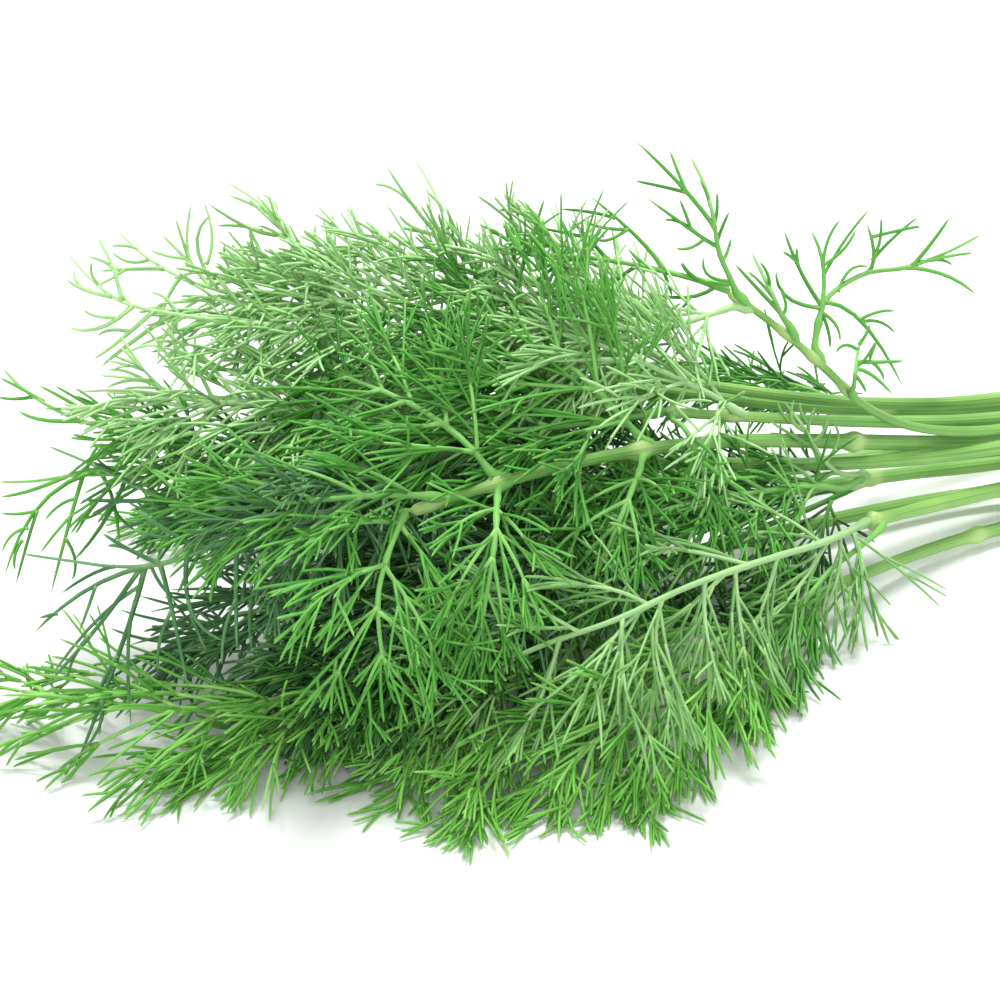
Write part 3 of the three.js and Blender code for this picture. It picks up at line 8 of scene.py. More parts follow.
import bpy
import math
import random
import numpy as np
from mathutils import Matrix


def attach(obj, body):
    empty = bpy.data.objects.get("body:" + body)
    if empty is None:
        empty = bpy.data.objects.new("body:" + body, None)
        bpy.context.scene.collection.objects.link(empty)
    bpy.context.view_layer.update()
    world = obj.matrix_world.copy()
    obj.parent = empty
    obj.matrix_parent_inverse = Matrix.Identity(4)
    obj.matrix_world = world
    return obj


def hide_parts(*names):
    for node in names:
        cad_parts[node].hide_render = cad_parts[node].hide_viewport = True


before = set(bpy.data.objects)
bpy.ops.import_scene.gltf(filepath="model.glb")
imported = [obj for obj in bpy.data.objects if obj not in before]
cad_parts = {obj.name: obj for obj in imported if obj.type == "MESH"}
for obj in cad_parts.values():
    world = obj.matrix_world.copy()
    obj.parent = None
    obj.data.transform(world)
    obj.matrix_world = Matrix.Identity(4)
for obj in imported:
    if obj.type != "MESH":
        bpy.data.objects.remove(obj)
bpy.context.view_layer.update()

# ------------------------------------------------------------------ growth table
# Stems: radius at the cut end and tip, centre line from the cut end to the tip.
# Leaves: stem, place on the stem 0..1, colour, midrib radius at the base, sag,
# facing, centre line, and the side ribs as
# [place along the midrib 0..1, side, length, angle from the midrib, lift], or,
# for a rib that takes its own way, [place, x, y, z of its bend, x, y, z of its
# end]; then threads of their own as start, bend and end.
STEMS = {
    "stem_01": dict(cut=1.75, tip=0.7, path=[[125.37, 3.53, 8.95], [110.41, 2.91, 9.62], [95.46, 2.27, 10.24], [80.51, 1.51, 10.74], [65.57, 0.61, 11.06], [50.7, -0.55, 11.57], [36.04, -2.25, 13.11], [21.79, -4.75, 16.38], [7.88, -7.89, 20.68], [-5.78, -11.77, 25.32], [-19.39, -15.94, 29.84], [-33.09, -20.3, 33.67], [-47.08, -24.16, 36.1], [-61.46, -26.49, 36.49], [-75.92, -27.26, 34.95]]),
    "stem_02": dict(cut=1.65, tip=0.95, path=[[123.37, -6.47, 3.95], [107.9, -6.04, 5.05], [92.42, -5.73, 6.05], [76.93, -5.74, 6.81], [61.44, -6.15, 7.28], [46.01, -7.15, 7.74], [30.78, -9.2, 8.67], [15.97, -12.89, 10.49], [1.6, -17.88, 12.95]]),
    "stem_03": dict(cut=1.4, tip=0.48, path=[[127.37, 7.53, 13.95], [116.64, 6.73, 14.72], [105.91, 5.91, 15.48], [95.2, 4.95, 16.16], [84.51, 3.68, 16.65], [73.88, 1.99, 16.85], [63.3, -0.08, 16.79], [52.77, -2.32, 16.68], [42.25, -4.48, 16.86], [31.77, -6.29, 17.79], [21.52, -7.65, 19.92], [11.9, -8.91, 23.54], [3.58, -10.23, 29.16], [-3.35, -10.93, 36.45], [-10.57, -9.53, 43.55], [-18.12, -6.25, 49.95]]),
    "stem_04": dict(cut=1.6, tip=0.7, path=[[121.37, -0.47, 4.95], [106, -0.48, 5.68], [90.63, -0.46, 6.33], [75.26, -0.41, 6.81], [59.89, -0.34, 7.12], [44.58, -0.53, 7.71], [29.47, -1.58, 9.27], [14.74, -4.21, 11.98], [0.38, -8.32, 15.12], [-14.03, -12.51, 18.13], [-28.71, -16.01, 20.77], [-43.61, -18.87, 22.95]]),
    "stem_05": dict(cut=1.7, tip=0.7, path=[[128.37, 11.53, 8.95], [113.5, 9.66, 10.61], [98.62, 7.76, 12.17], [83.73, 5.77, 13.45], [68.84, 3.64, 14.33], [53.98, 1.37, 15.08], [39.23, -1.05, 16.45], [24.76, -3.7, 19.25], [10.61, -6.79, 23.18], [-3.19, -10.42, 27.68], [-17.11, -13.12, 32.1], [-31.38, -14.05, 35.95]]),
    "stem_06": dict(cut=1.45, tip=0.7, path=[[124.37, 16.53, 10.95], [109.35, 14.8, 12.42], [94.31, 13.11, 13.69], [79.23, 11.56, 14.41], [64.15, 10.14, 14.49], [49.13, 8.61, 14.74], [34.36, 6.53, 16.43], [19.96, 3.78, 19.85], [5.73, 1.04, 24.16], [-8.48, -1.01, 28.99], [-22.67, -2.47, 34.1], [-37, -3.21, 38.95]]),
    "stem_07": dict(cut=1.5, tip=0.7, path=[[127.37, -17.47, 1.55], [112.51, -16.5, 1.58], [97.65, -15.44, 1.61], [82.82, -14.14, 1.67], [68.02, -12.52, 1.77], [53.26, -10.93, 1.91], [38.53, -10.24, 2.15], [23.98, -11.61, 2.62], [9.86, -15.42, 3.59], [-3.67, -21.05, 5.12], [-16.55, -28.11, 7], [-28.91, -36.09, 8.95]]),
    "stem_08": dict(cut=1.55, tip=0.7, path=[[119.37, 6.53, 1.75], [103.92, 6.14, 2.76], [88.47, 5.8, 3.71], [73.01, 5.57, 4.52], [57.55, 5.45, 5.25], [42.13, 5.35, 6.33], [26.8, 5.09, 8.22], [11.58, 4.39, 10.77], [-3.57, 3.02, 13.54], [-18.67, 1.06, 16.02], [-33.84, -0.82, 17.86], [-49.14, -1.85, 18.95]]),
    "stem_09": dict(cut=1.45, tip=0.7, path=[[121.37, 21.53, 5.95], [106.92, 19.84, 7], [92.46, 18.22, 7.94], [77.97, 16.8, 8.61], [63.46, 15.64, 8.97], [49, 14.55, 9.66], [34.72, 13.17, 11.64], [20.7, 11.37, 14.91], [6.88, 9.39, 18.97], [-6.88, 7.93, 23.32], [-20.75, 7.78, 27.56], [-34.69, 8.61, 31.49], [-48.64, 10.2, 34.98], [-62.47, 13.12, 37.95]]),
    "stem_10": dict(cut=1.5, tip=0.7, path=[[126.37, -2.47, 12.95], [111.06, -2.35, 13.87], [95.76, -2.42, 14.68], [80.46, -3.03, 15.17], [65.2, -4.32, 15.27], [49.98, -6.01, 15.18], [34.76, -7.57, 15.37], [19.57, -8.61, 16.51], [4.53, -9.82, 18.73], [-10.3, -11.26, 21.97], [-25.02, -11.92, 25.36], [-39.64, -10.25, 27.96], [-53.8, -5.68, 29.23], [-67.24, 1.05, 29.17], [-79.83, 9.31, 27.95]]),
    "stem_11": dict(cut=1.55, tip=0.7, path=[[120.37, -10.47, 1.65], [105.55, -9.93, 2.14], [90.76, -9.04, 2.56], [76.07, -7.26, 2.79], [61.55, -4.45, 2.8], [47.08, -1.48, 2.74], [32.48, 0.33, 2.87], [17.77, 0.39, 3.34], [3.09, -0.88, 4.1], [-11.43, -3.43, 5.11], [-25.77, -6.96, 6.08], [-40.06, -10.71, 6.63], [-54.51, -13.76, 6.58], [-69.09, -15.97, 5.95]]),
    "stem_12": dict(cut=1.55, tip=0.7, path=[[123.37, 24.53, 1.55], [108.74, 22.77, 1.75], [94.11, 21.04, 1.97], [79.47, 19.39, 2.24], [64.82, 17.92, 2.6], [50.14, 16.92, 3.01], [35.43, 16.58, 3.48], [20.72, 16.85, 3.97], [6.03, 17.63, 4.48], [-8.64, 18.87, 5.02], [-23.25, 20.56, 5.6], [-37.79, 22.8, 6.26], [-52.23, 25.56, 7.04], [-66.63, 28.53, 7.95]]),
}
# Leaves with the colour deep are back and inner ones; their darker green is painted shade for the inside of the bunch.
LEAVES = {
    "leaf_01": dict(stem="stem_01", at=0.8143, tint="mid", rib=0.54, sag=0.24, face=[-0.174, -0.678, 0.714],
        path=[[-38.65, -21.55, 36.54], [-42.45, -20.75, 41.38], [-45.94, -17.82, 45.53], [-49.17, -13.22, 48.42], [-52.38, -7.77, 49.97], [-55.56, -2.04, 50.95]],
        pinnae=[[0.129, 1, 14.9, 53, -1], [0.118, -1, 15.1, 40, 7], [0.334, 1, 18.1, 43, 6], [0.319, -1, 18.2, 40, 8], [0.537, 1, 16.4, 38, -1], [0.541, -1, 15.4, 37, 4], [0.763, 1, 11.9, 37, 11], [0.713, -1, 11.9, 31, -3], [0.956, 1, 6.2, 30, 11], [0.912, -1, 5.9, 30, 10]],
        threads=[]),
    "leaf_02": dict(stem="stem_01", at=0.819, tint="mid", rib=0.54, sag=0.22, face=[-0.401, -0.441, 0.803],
        path=[[-39.32, -23.98, 34.76], [-42.16, -28.57, 34.98], [-45.16, -32.57, 34.46], [-48.07, -35.01, 31.49], [-50.46, -35.73, 26.99], [-52.42, -35.43, 21.95]],
        pinnae=[[0.27, 1, 8, 41, 24], [0.278, -1, 7.3, 43, 9], [0.448, 1, 8, 34, -8], [0.459, -1, 9.3, 43, 9], [0.611, 1, 9.3, 37, -4], [0.616, -1, 8, 34, -5], [0.782, 1, 6.3, 28, -2], [0.783, -1, 5.9, 27, 0], [0.948, 1, 3.3, 21, 32], [0.911, -1, 3.2, 31, 19]],
        threads=[]),
    "leaf_03": dict(stem="stem_01", at=0.9357, tint="mid", rib=0.54, sag=0.29, face=[-0.174, -0.369, 0.913],
        path=[[-63.31, -26.1, 38.02], [-66.3, -23.41, 42.02], [-69.37, -19.1, 44.46], [-72.2, -13.87, 45.4], [-74.73, -8.22, 45.34], [-77.16, -2.44, 44.95]],
        pinnae=[[0.133, 1, 14.9, 45, 6], [0.113, -1, 14.6, 41, 8], [0.346, 1, 17.8, 44, -13], [0.318, -1, 17.9, 50, -7], [0.571, 1, 16.8, 41, -17], [0.527, -1, 14.4, 37, 9], [0.732, 1, 12.5, 31, -10], [0.713, -1, 10.4, 34, 9], [0.953, 1, 5.7, 28, -13], [0.913, -1, 5.8, 18, 6]],
        threads=[]),
    "leaf_04": dict(stem="stem_01", at=0.9357, tint="mid", rib=0.54, sag=0.33, face=[0.113, -0.751, 0.65],
        path=[[-63.04, -28.34, 36.58], [-65.67, -33.42, 36.81], [-67.61, -38.2, 36.34], [-69.36, -41.02, 33.02], [-70.65, -41.91, 27.79], [-71.64, -42.3, 21.95]],
        pinnae=[[0.232, 1, 7.6, 38, 13], [0.23, -1, 8.7, 44, -3], [0.408, 1, 9.2, 37, 6], [0.421, -1, 10.4, 30, -9], [0.584, 1, 8.5, 23, -2], [0.583, -1, 10.2, 34, 2], [0.763, 1, 6.6, 33, 6], [0.761, -1, 6.3, 33, -6], [0.924, 1, 3.7, 21, -2], [0.925, -1, 3.8, 28, 22]],
        threads=[]),
    "leaf_05": dict(stem="stem_01", at=1, tint="mid", rib=0.54, sag=0.31, face=[0.132, -0.76, 0.636],
        path=[[-76.73, -27.3, 34.86], [-79.76, -31.48, 33.95], [-82.59, -35.35, 32.27], [-84.72, -38.49, 29.33], [-85.25, -40.25, 24.9], [-84.93, -41.21, 19.95]],
        pinnae=[[0.097, 1, 15, 66, 1], [0.084, -1, 14.3, 51, 4], [0.412, 1, 13.5, 53, 6], [0.401, -1, 13.3, 49, 13], [0.681, 1, 10.6, 53, 20], [0.652, -1, 11, 36, -13], [0.947, 1, 5.7, 30, 9], [0.916, -1, 5.4, 41, -9]],
        threads=[]),
    "leaf_06": dict(stem="stem_01", at=0.9857, tint="mid", rib=0.54, sag=0.22, face=[-0.379, -0.694, 0.612],
        path=[[-73.4, -27.27, 36.95], [-78.96, -27.18, 38.17], [-84.6, -25.93, 38.23], [-89.83, -23.28, 37.45], [-94.52, -19.8, 35.89], [-98.88, -15.97, 33.95]],
        pinnae=[[0.105, 1, 8.8, 26, -14], [0.081, -1, 8.4, 29, 12], [0.317, 1, 10.3, 28, 18], [0.315, -1, 10.4, 35, 2], [0.55, 1, 10.1, 23, 6], [0.546, -1, 11.3, 26, 6], [0.735, 1, 6.7, 28, -6], [0.709, -1, 7, 30, 14], [0.932, 1, 4.1, 23, 0], [0.937, -1, 4.3, 20, 6]],
        threads=[]),
    "leaf_07": dict(stem="stem_02", at=1, tint="pale", rib=0.62, sag=0.41, face=[0.042, -0.473, 0.88],
        path=[[0.95, -18.1, 13.06], [-6.92, -25.08, 16.2], [-15.23, -31.52, 19.34], [-23.91, -37.41, 22.55], [-33.23, -42.59, 25.05], [-43.33, -46.51, 26.17], [-53.49, -46.55, 23.47], [-62.5, -42.34, 19.07], [-71.55, -38.76, 14.18], [-77.65, -30.82, 9.95]],
        pinnae=[[0.075, -3.79, -26.06, 11.69, -6.87, -30.77, 7.12], [0.121, -9.08, -28.43, 11.48, -12.79, -30.95, 6.8], [0.17, -17.73, -32.68, 13.88, -25.85, -38.57, 12.63], [0.196, -16.36, -28.28, 21.32, -19.23, -26.7, 23.1], [0.34, -26.54, -39.37, 18.49, -28.89, -40.96, 14.61], [0.45, -34.04, -44.78, 20.57, -34.54, -48.52, 14.67], [0.419, -37.34, -39, 26.55, -42.88, -37.64, 27.8], [0.472, -40.35, -43.76, 21.55, -44.79, -43.36, 18.14], [0.594, -48.92, -49.91, 19.5, -48.9, -54.7, 14.28], [0.616, -54.45, -47.56, 21.02, -58.94, -50.53, 16.91], [0.616, -52.52, -43.99, 26.52, -56.91, -42.1, 27.09], [0.722, -61.25, -42.68, 23.48, -64.34, -41.22, 25.56], [0.752, -63.71, -46.23, 14.75, -67.81, -48.74, 10.78], [0.818, -69.13, -38.2, 19.43, -71.63, -34.85, 22.29], [0.828, -70.61, -42.22, 12.12, -74.91, -43.75, 7.91], [0.516, -40.96, -48.52, 21.71, -41.41, -51.94, 18.14], [0.656, -53.98, -49.97, 18.3, -54.36, -53.65, 14.15], [0.902, -76.05, -38.4, 11.18, -81.79, -38.73, 7.87], [0.958, -77.55, -36.06, 8.21, -78.37, -38.14, 5.88], [0.891, -73.82, -36.59, 16.88, -75.8, -34.9, 18.78]],
        threads=[]),
    "leaf_08": dict(stem="stem_02", at=0.9917, tint="mid", rib=0.54, sag=0.26, face=[0.168, -0.611, 0.774],
        path=[[2.86, -19.37, 12.09], [-2.74, -23.19, 12.14], [-8.86, -26.59, 11.81], [-14.79, -30.32, 10.36], [-20.78, -33.76, 8.19], [-26.74, -37.04, 5.59], [-32.5, -40.67, 2.95]],
        pinnae=[[0.435, 1, 3.8, 34, -10], [0.412, -1, 3.8, 36, 3], [0.54, 1, 9.7, 25, 16], [0.539, -1, 8.6, 33, 4], [0.636, 1, 11.4, 36, -7], [0.616, -1, 10.3, 19, 37], [0.742, 1, 8.9, 23, 11], [0.737, -1, 10.7, 25, 11], [0.85, 1, 6.4, 16, 23], [0.835, -1, 7.7, 24, 4], [0.922, 1, 3.8, 19, 27], [0.936, -1, 4, 22, 3]],
        threads=[]),
    "leaf_09": dict(stem="stem_03", at=1, tint="mid", rib=0.54, sag=0.44, face=[0.124, -0.401, 0.908],
        path=[[-18.63, -6.03, 50.39], [-23.96, -1.67, 51.52], [-30.31, 0.29, 53.37], [-36.99, 0.56, 55.39], [-43.8, 0.44, 56.98], [-50.7, 1.16, 57.95]],
        pinnae=[[0.266, -28.79, 1.55, 56.54, -35.06, 5.8, 62.84], [0.52, -36.36, 2.63, 57.31, -38.48, 4.8, 59.96], [0.748, -44.26, 2.35, 58.66, -47.48, 3.7, 59.58], [0.03, -23.61, -5.19, 49.3, -29.04, -3.61, 50.03], [0.63, -41.65, 1.36, 55.17, -46.2, 1.8, 54.15], [0.379, -32.09, 0.42, 51.78, -34.63, 0.41, 49.64]],
        threads=[[-31.92, 3.67, 59.68, -35.58, 4.54, 60.87, -40.17, 5.01, 61.86], [-30.34, 2.6, 58.1, -33.6, 3.48, 58.45, -36.33, 4.23, 59.53], [-30.34, 2.6, 58.1, -33.54, 2.46, 56.93, -35.48, 2.45, 57.56], [-36.53, 2.8, 57.52, -39.78, 5.08, 58.16, -42.81, 7.34, 58.4], [-44.06, 2.18, 58.47, -46.04, 3, 58.68, -48.29, 3.63, 58.48], [-26.04, -1.03, 52.13, -25.61, -1.76, 50.48, -25.21, -2.43, 48.59], [-23.61, -5.19, 49.3, -24.61, -5.66, 48.38, -26.21, -6.02, 47.51], [-46.61, 0.73, 57.38, -49.22, 1.35, 58.58, -52.42, 1.13, 58.86], [-41.65, 1.36, 55.17, -43.42, 1.62, 53.77, -45.42, 2.12, 52.31], [-32.09, 0.42, 51.78, -34.65, 0.45, 51.54, -36.96, 0.33, 51.97], [-44.27, 0.49, 57.05, -46.36, 1.46, 58.24, -47.77, 1.85, 59.4], [-21.34, -3.81, 50.96, -22.6, -2.89, 51.73, -23.64, -1.53, 53.43], [-27.83, -0.47, 52.65, -28.89, 1.15, 53.21, -29.75, 3.61, 54.61]]),
    "leaf_10": dict(stem="stem_03", at=0.9911, tint="mid", rib=0.54, sag=0.3, face=[0.089, -0.943, 0.32],
        path=[[-17.22, -7.94, 49.94], [-20.02, -10.37, 54.28], [-22.58, -11.97, 59.05], [-23.35, -11.22, 64.37], [-22.93, -6.95, 67.81], [-22.66, -1.67, 69.95]],
        pinnae=[[0.53, -26.71, -8.35, 67.91, -32.65, -4.86, 74.63], [0.434, -25.05, -10.66, 61.31, -31.4, -6.02, 66.37]],
        threads=[[-26.38, -8.64, 67.42, -27.2, -7.24, 70.16, -27.99, -6.04, 73.03], [-26.38, -8.64, 67.42, -30.25, -7.81, 68.69, -34.13, -7.71, 69.99], [-25.55, -10.29, 61.72, -27.23, -8.46, 62.97, -29.09, -7.03, 63.02], [-26.09, -9.9, 62.14, -26.68, -9.21, 64.24, -27.47, -8.74, 66.49], [-24.41, -10.98, 60.94, -26.89, -11.31, 60, -29.14, -11.37, 60.38], [-22.8, -11.76, 60.58, -22.13, -11.75, 62.51, -21.23, -11.98, 64.92], [-23.19, -11.38, 63.29, -22.52, -10.72, 64.95, -22.08, -9.62, 67.23], [-19.12, -9.59, 52.88, -22.06, -7.72, 53.58, -22, -6.08, 55.76], [-18.64, -9.17, 52.15, -23.37, -7.79, 53.03, -25.82, -6.66, 55.97], [-23.22, -9.92, 65.42, -23.49, -8.95, 67.19, -24.07, -8.03, 68.77], [-21.58, -11.35, 57.19, -20.67, -11.05, 58.6, -20.04, -10.61, 60.2]]),
    "leaf_11": dict(stem="stem_03", at=0.8889, tint="mid", rib=0.54, sag=0.21, face=[-0.276, -0.8, 0.533],
        path=[[-4.8, -9.89, 39.97], [-2.65, -7.92, 46.13], [3.63, -7.8, 49.49], [8.63, -12.15, 51.64], [15.5, -12.02, 52.98], [22.44, -9.97, 53.95]],
        pinnae=[[0.17, -7.9, -5.9, 46.99, -9.17, -4.41, 50.97], [0.178, -5.12, -4.71, 50.11, -6.48, -1.26, 55.74], [0.176, -1.6, -4.96, 50.77, -1.94, -1.31, 54.89], [0.418, 5.38, -7.79, 52.23, 4.94, -5.86, 56.7], [0.622, 12.36, -11.93, 54.52, 15.67, -11.51, 58.32], [0.595, 13.38, -15.11, 50.8, 16.49, -18.82, 48.73], [0.196, 1.9, -11.56, 43.62, 5.5, -18.34, 35.58]],
        threads=[[-5.34, -4.15, 51.03, -5.39, -3.71, 52.34, -5.36, -3.52, 53.55], [-5.45, -3.86, 51.5, -6.35, -3.31, 52.34, -7.37, -2.96, 53], [-1.6, -4.96, 50.77, -0.17, -3.48, 54, 2.14, -2.64, 56.55], [-1.95, -5.83, 49.3, 2.57, -3.75, 53.68, 7.5, -1.74, 56.99], [-1.6, -4.96, 50.77, 1.41, -5.39, 52.89, 3.52, -5.17, 55.85], [5.26, -7.83, 52, 6.37, -7.53, 54.55, 6.7, -6.8, 57.91], [5.02, -7.9, 51.54, 8.68, -7.35, 54.44, 12.91, -7.02, 57.04], [5.12, -6.67, 54.83, 10.76, -8.54, 56.18, 11.65, -9.34, 56.35], [10.14, -12.12, 51.93, 15.12, -13.28, 52.84, 18.57, -14.03, 53.07], [10.73, -12.11, 52.05, 13.77, -12.75, 52.21, 15.6, -13.26, 51.31], [-0.42, -7.88, 47.32, 1.84, -7.1, 50.26, 4.42, -7.9, 50.65], [1.48, -11.24, 43.84, 4.08, -12.3, 45.19, 6, -13.95, 45.72], [1.9, -11.56, 43.62, 4.31, -12.7, 43.69, 5.98, -14.44, 42.34], [-3.42, -8, 45.36, -2.92, -10.02, 42.49, -3.21, -11.46, 40.2], [-3.16, -8.39, 44.66, -1.64, -10.07, 43.11, -1.6, -11.5, 41.09], [-7.9, -5.9, 46.99, -8.35, -5.41, 47.68, -8.65, -4.94, 48.51], [3.09, -13.81, 40.96, 2.46, -14.12, 39.7, 1.63, -14.66, 37.78]]),
    "leaf_12": dict(stem="stem_03", at=0.8311, tint="mid", rib=0.54, sag=0.27, face=[-0.241, -0.942, -0.234],
        path=[[0.44, -12.2, 32.77], [-1.53, -16.2, 35.42], [-3.69, -20.12, 37.99], [-5.24, -22.97, 41.12], [-2.77, -18.82, 41.89], [0.1, -14.64, 42.95]],
        pinnae=[[0.747, -0.13, -21.06, 41.54, 3.37, -21.95, 41.47], [0.674, -2.36, -22.83, 40.61, -0.32, -25.41, 38.33]],
        threads=[[-4.07, -21, 41.48, -2.31, -20.69, 42.41, -0.56, -19.69, 44.09], [-1.85, -17.47, 42.23, -3.53, -16.44, 42.89, -4.98, -16.49, 41.86], [-1.33, -20.65, 41.59, -0.42, -21.71, 40.58, -0.2, -22.67, 39.35], [-1.12, -16.41, 42.5, 0.12, -16.04, 43.86, 0.98, -15.52, 45.12], [-5.11, -22.76, 41.15, -4.39, -23.63, 39.88, -3.97, -24.2, 38.77]]),
    # painted shade: a back leaf given the deep colour so the inside of the bunch looks darker
    "leaf_13": dict(stem="stem_04", at=0.6758, tint="deep", rib=0.54, sag=0.23, face=[0.045, -0.697, 0.715],
        path=[[7.66, -4.82, 11.94], [1.39, -3.29, 8.95], [-6.06, -4.14, 7.92], [-13.95, -5.67, 7.75], [-22.02, -7.25, 7.96], [-30.11, -9, 8.39], [-38.18, -10.86, 8.95]],
        pinnae=[[0.121, 1, 13.5, 50, 19], [0.084, -1, 15.6, 45, 4], [0.275, 1, 17.8, 51, 4], [0.243, -1, 17.2, 44, 27], [0.391, 1, 18.5, 52, 11], [0.398, -1, 15.8, 38, 5], [0.544, 1, 15.8, 44, 1], [0.52, -1, 17.2, 43, 13], [0.667, 1, 14.2, 36, 2], [0.661, -1, 12.7, 34, 6], [0.813, 1, 10, 27, 22], [0.799, -1, 8.3, 31, 13], [0.94, 1, 5.9, 38, 2], [0.934, -1, 6.2, 21, 20]],
        threads=[]),
    # painted shade: a back leaf given the deep colour so the inside of the bunch looks darker
    "leaf_14": dict(stem="stem_04", at=1, tint="deep", rib=0.54, sag=0.4, face=[-0.108, -0.586, 0.803],
        path=[[-44.23, -18.98, 23.04], [-51.67, -21.81, 23.42], [-59.08, -24.76, 22.26], [-66.53, -26.98, 20.65], [-73.99, -27.99, 18.15], [-81.2, -27.96, 14.76], [-88.26, -27.43, 10.95]],
        pinnae=[[0.091, 1, 11.3, 19, 53], [0.072, -1, 15.1, 61, -8], [0.235, 1, 18, 48, -15], [0.219, -1, 17.9, 55, -8], [0.384, 1, 17.6, 41, 25], [0.365, -1, 17.9, 55, 0], [0.517, 1, 15.2, 59, 3], [0.502, -1, 17.6, 44, 6], [0.652, 1, 16.5, 40, 21], [0.64, -1, 15, 48, 11], [0.795, 1, 10.7, 44, 18], [0.781, -1, 9.3, 39, 3], [0.948, 1, 5.8, 24, 30], [0.923, -1, 6.4, 34, -1]],
        threads=[]),
    "leaf_15": dict(stem="stem_04", at=0.703, tint="mid", rib=0.54, sag=0.35, face=[0.364, -0.569, 0.738],
        path=[[4.69, -8.87, 15.28], [-0.55, -13.49, 16.99], [-6.72, -16.47, 20.03], [-13.38, -19.08, 22.24], [-20.34, -21.32, 23.96], [-27.48, -23.24, 25.28], [-34.76, -24.93, 26.22], [-42.09, -26.56, 26.75], [-49.4, -28.34, 26.95]],
        pinnae=[[0.268, 1, 6, 31, 7], [0.246, -1, 7.1, 44, 6], [0.346, 1, 9.6, 41, 0], [0.333, -1, 9.3, 35, -13], [0.466, 1, 11.7, 40, 18], [0.456, -1, 11.8, 38, 6], [0.564, 1, 11.4, 40, -2], [0.551, -1, 13.7, 32, -2], [0.645, 1, 12, 37, 16], [0.642, -1, 10.6, 28, 12], [0.755, 1, 10, 25, -2], [0.718, -1, 9.5, 36, 11], [0.857, 1, 5.8, 31, -6], [0.824, -1, 6.9, 27, 11], [0.929, 1, 4.5, 29, 15], [0.942, -1, 4.4, 29, 6]],
        threads=[]),
    "leaf_16": dict(stem="stem_05", at=0.9303, tint="light", rib=0.54, sag=0.29, face=[0.291, -0.497, 0.818],
        path=[[-20.19, -14.37, 34.44], [-25.47, -16.19, 38.81], [-31.41, -16.18, 42.6], [-37.33, -13.66, 45.77], [-43.34, -10.01, 48.11], [-49.37, -5.91, 49.95]],
        pinnae=[[0.113, 1, 13.4, 51, 2], [0.102, -1, 15, 46, 2], [0.337, 1, 15.5, 40, 12], [0.336, -1, 15.5, 39, 9], [0.557, 1, 15.9, 36, 10], [0.525, -1, 14.4, 35, -6], [0.751, 1, 11.2, 37, -13], [0.748, -1, 12.5, 26, 4], [0.958, 1, 5, 14, -15], [0.912, -1, 6.1, 26, 9]],
        threads=[]),
    "leaf_17": dict(stem="stem_05", at=1, tint="mid", rib=0.54, sag=0.22, face=[0.116, -0.393, 0.912],
        path=[[-31.98, -14.09, 36.11], [-39.16, -16.16, 37.25], [-46.45, -17.64, 38.36], [-53.86, -18.16, 39.34], [-61.29, -17.46, 39.83], [-68.66, -15.96, 39.95]],
        pinnae=[[0.082, 1, 13.1, 57, -30], [0.067, -1, 13.4, 40, -2], [0.341, 1, 17.5, 47, 18], [0.29, -1, 16.3, 45, 2], [0.543, 1, 14.5, 34, -4], [0.532, -1, 17.1, 32, 4], [0.725, 1, 11, 27, 2], [0.73, -1, 10.7, 17, 12], [0.926, 1, 5.5, 30, -9], [0.938, -1, 5.4, 24, -3]],
        threads=[]),
    "leaf_18": dict(stem="stem_04", at=0.6939, tint="pale", rib=0.54, sag=0.25, face=[0.456, -0.843, 0.286],
        path=[[6.06, -7.66, 15.72], [2.03, -10.94, 17.5], [-2.06, -12.74, 20.17], [-5.64, -13.9, 24.44], [-8.64, -14.77, 29.44], [-10.08, -10.76, 32.3]],
        pinnae=[[0.627, -9.12, -14.59, 27.42, -15.07, -15.3, 32.19], [0.531, -8.4, -13.66, 23.14, -13.58, -14.43, 24.67], [0.643, -7.25, -13.48, 28.23, -6.57, -14.01, 32.02], [0.37, -4.49, -12.56, 18.44, -7.83, -13.29, 16.36], [0.776, -10.05, -13.46, 30.42, -9.46, -12.67, 33.27], [0.318, -3.07, -12.03, 19.28, -7.49, -12.32, 19.26]],
        threads=[[-9.12, -14.59, 27.42, -10.95, -13.22, 27.8, -12.73, -11.77, 27.96], [-7.08, -13.61, 29.17, -7.94, -12.62, 30.47, -7.94, -11.77, 32.25], [-6.59, -13.59, 23.06, -9.2, -13.7, 21.96, -11.66, -13.58, 21.87], [-3.79, -12.07, 19.27, -5.84, -11.94, 17.72, -8.44, -11.13, 16.8], [-9.08, -14.12, 29.55, -10.92, -12.85, 30.8, -11.6, -11.67, 32.88], [-3.7, -13.27, 22.12, -1.36, -12.34, 24.9, -1.34, -10.79, 26.89], [-7.73, -14.33, 26.37, -5.82, -14.69, 27.52, -4.42, -14.33, 29.77]]),
    "leaf_19": dict(stem="stem_06", at=0.9182, tint="light", rib=0.54, sag=0.31, face=[0.39, -0.527, 0.755],
        path=[[-23.73, -2.45, 36.33], [-28.87, -2.45, 40.37], [-34.38, -2.16, 44.17], [-39.59, -1.07, 48.28], [-44.66, 1.53, 51.87], [-49.57, 5.11, 54.95]],
        pinnae=[[0.108, 1, 15.5, 50, 12], [0.108, -1, 15.4, 55, 5], [0.36, 1, 16.5, 55, 16], [0.319, -1, 15.7, 52, 6], [0.57, 1, 15.9, 50, -1], [0.525, -1, 17, 46, 8], [0.757, 1, 10.2, 48, -12], [0.743, -1, 11.3, 41, 17], [0.944, 1, 6.1, 32, 26], [0.902, -1, 6.3, 41, -5]],
        threads=[]),
    "leaf_20": dict(stem="stem_06", at=1, tint="light", rib=0.54, sag=0.35, face=[-0.025, -0.668, 0.744],
        path=[[-37.62, -3.25, 39.16], [-45.29, -0.65, 41.89], [-53, 1.68, 44.67], [-60.7, 3.8, 47.4], [-68.16, 7.05, 49.47], [-75.3, 11.29, 50.95]],
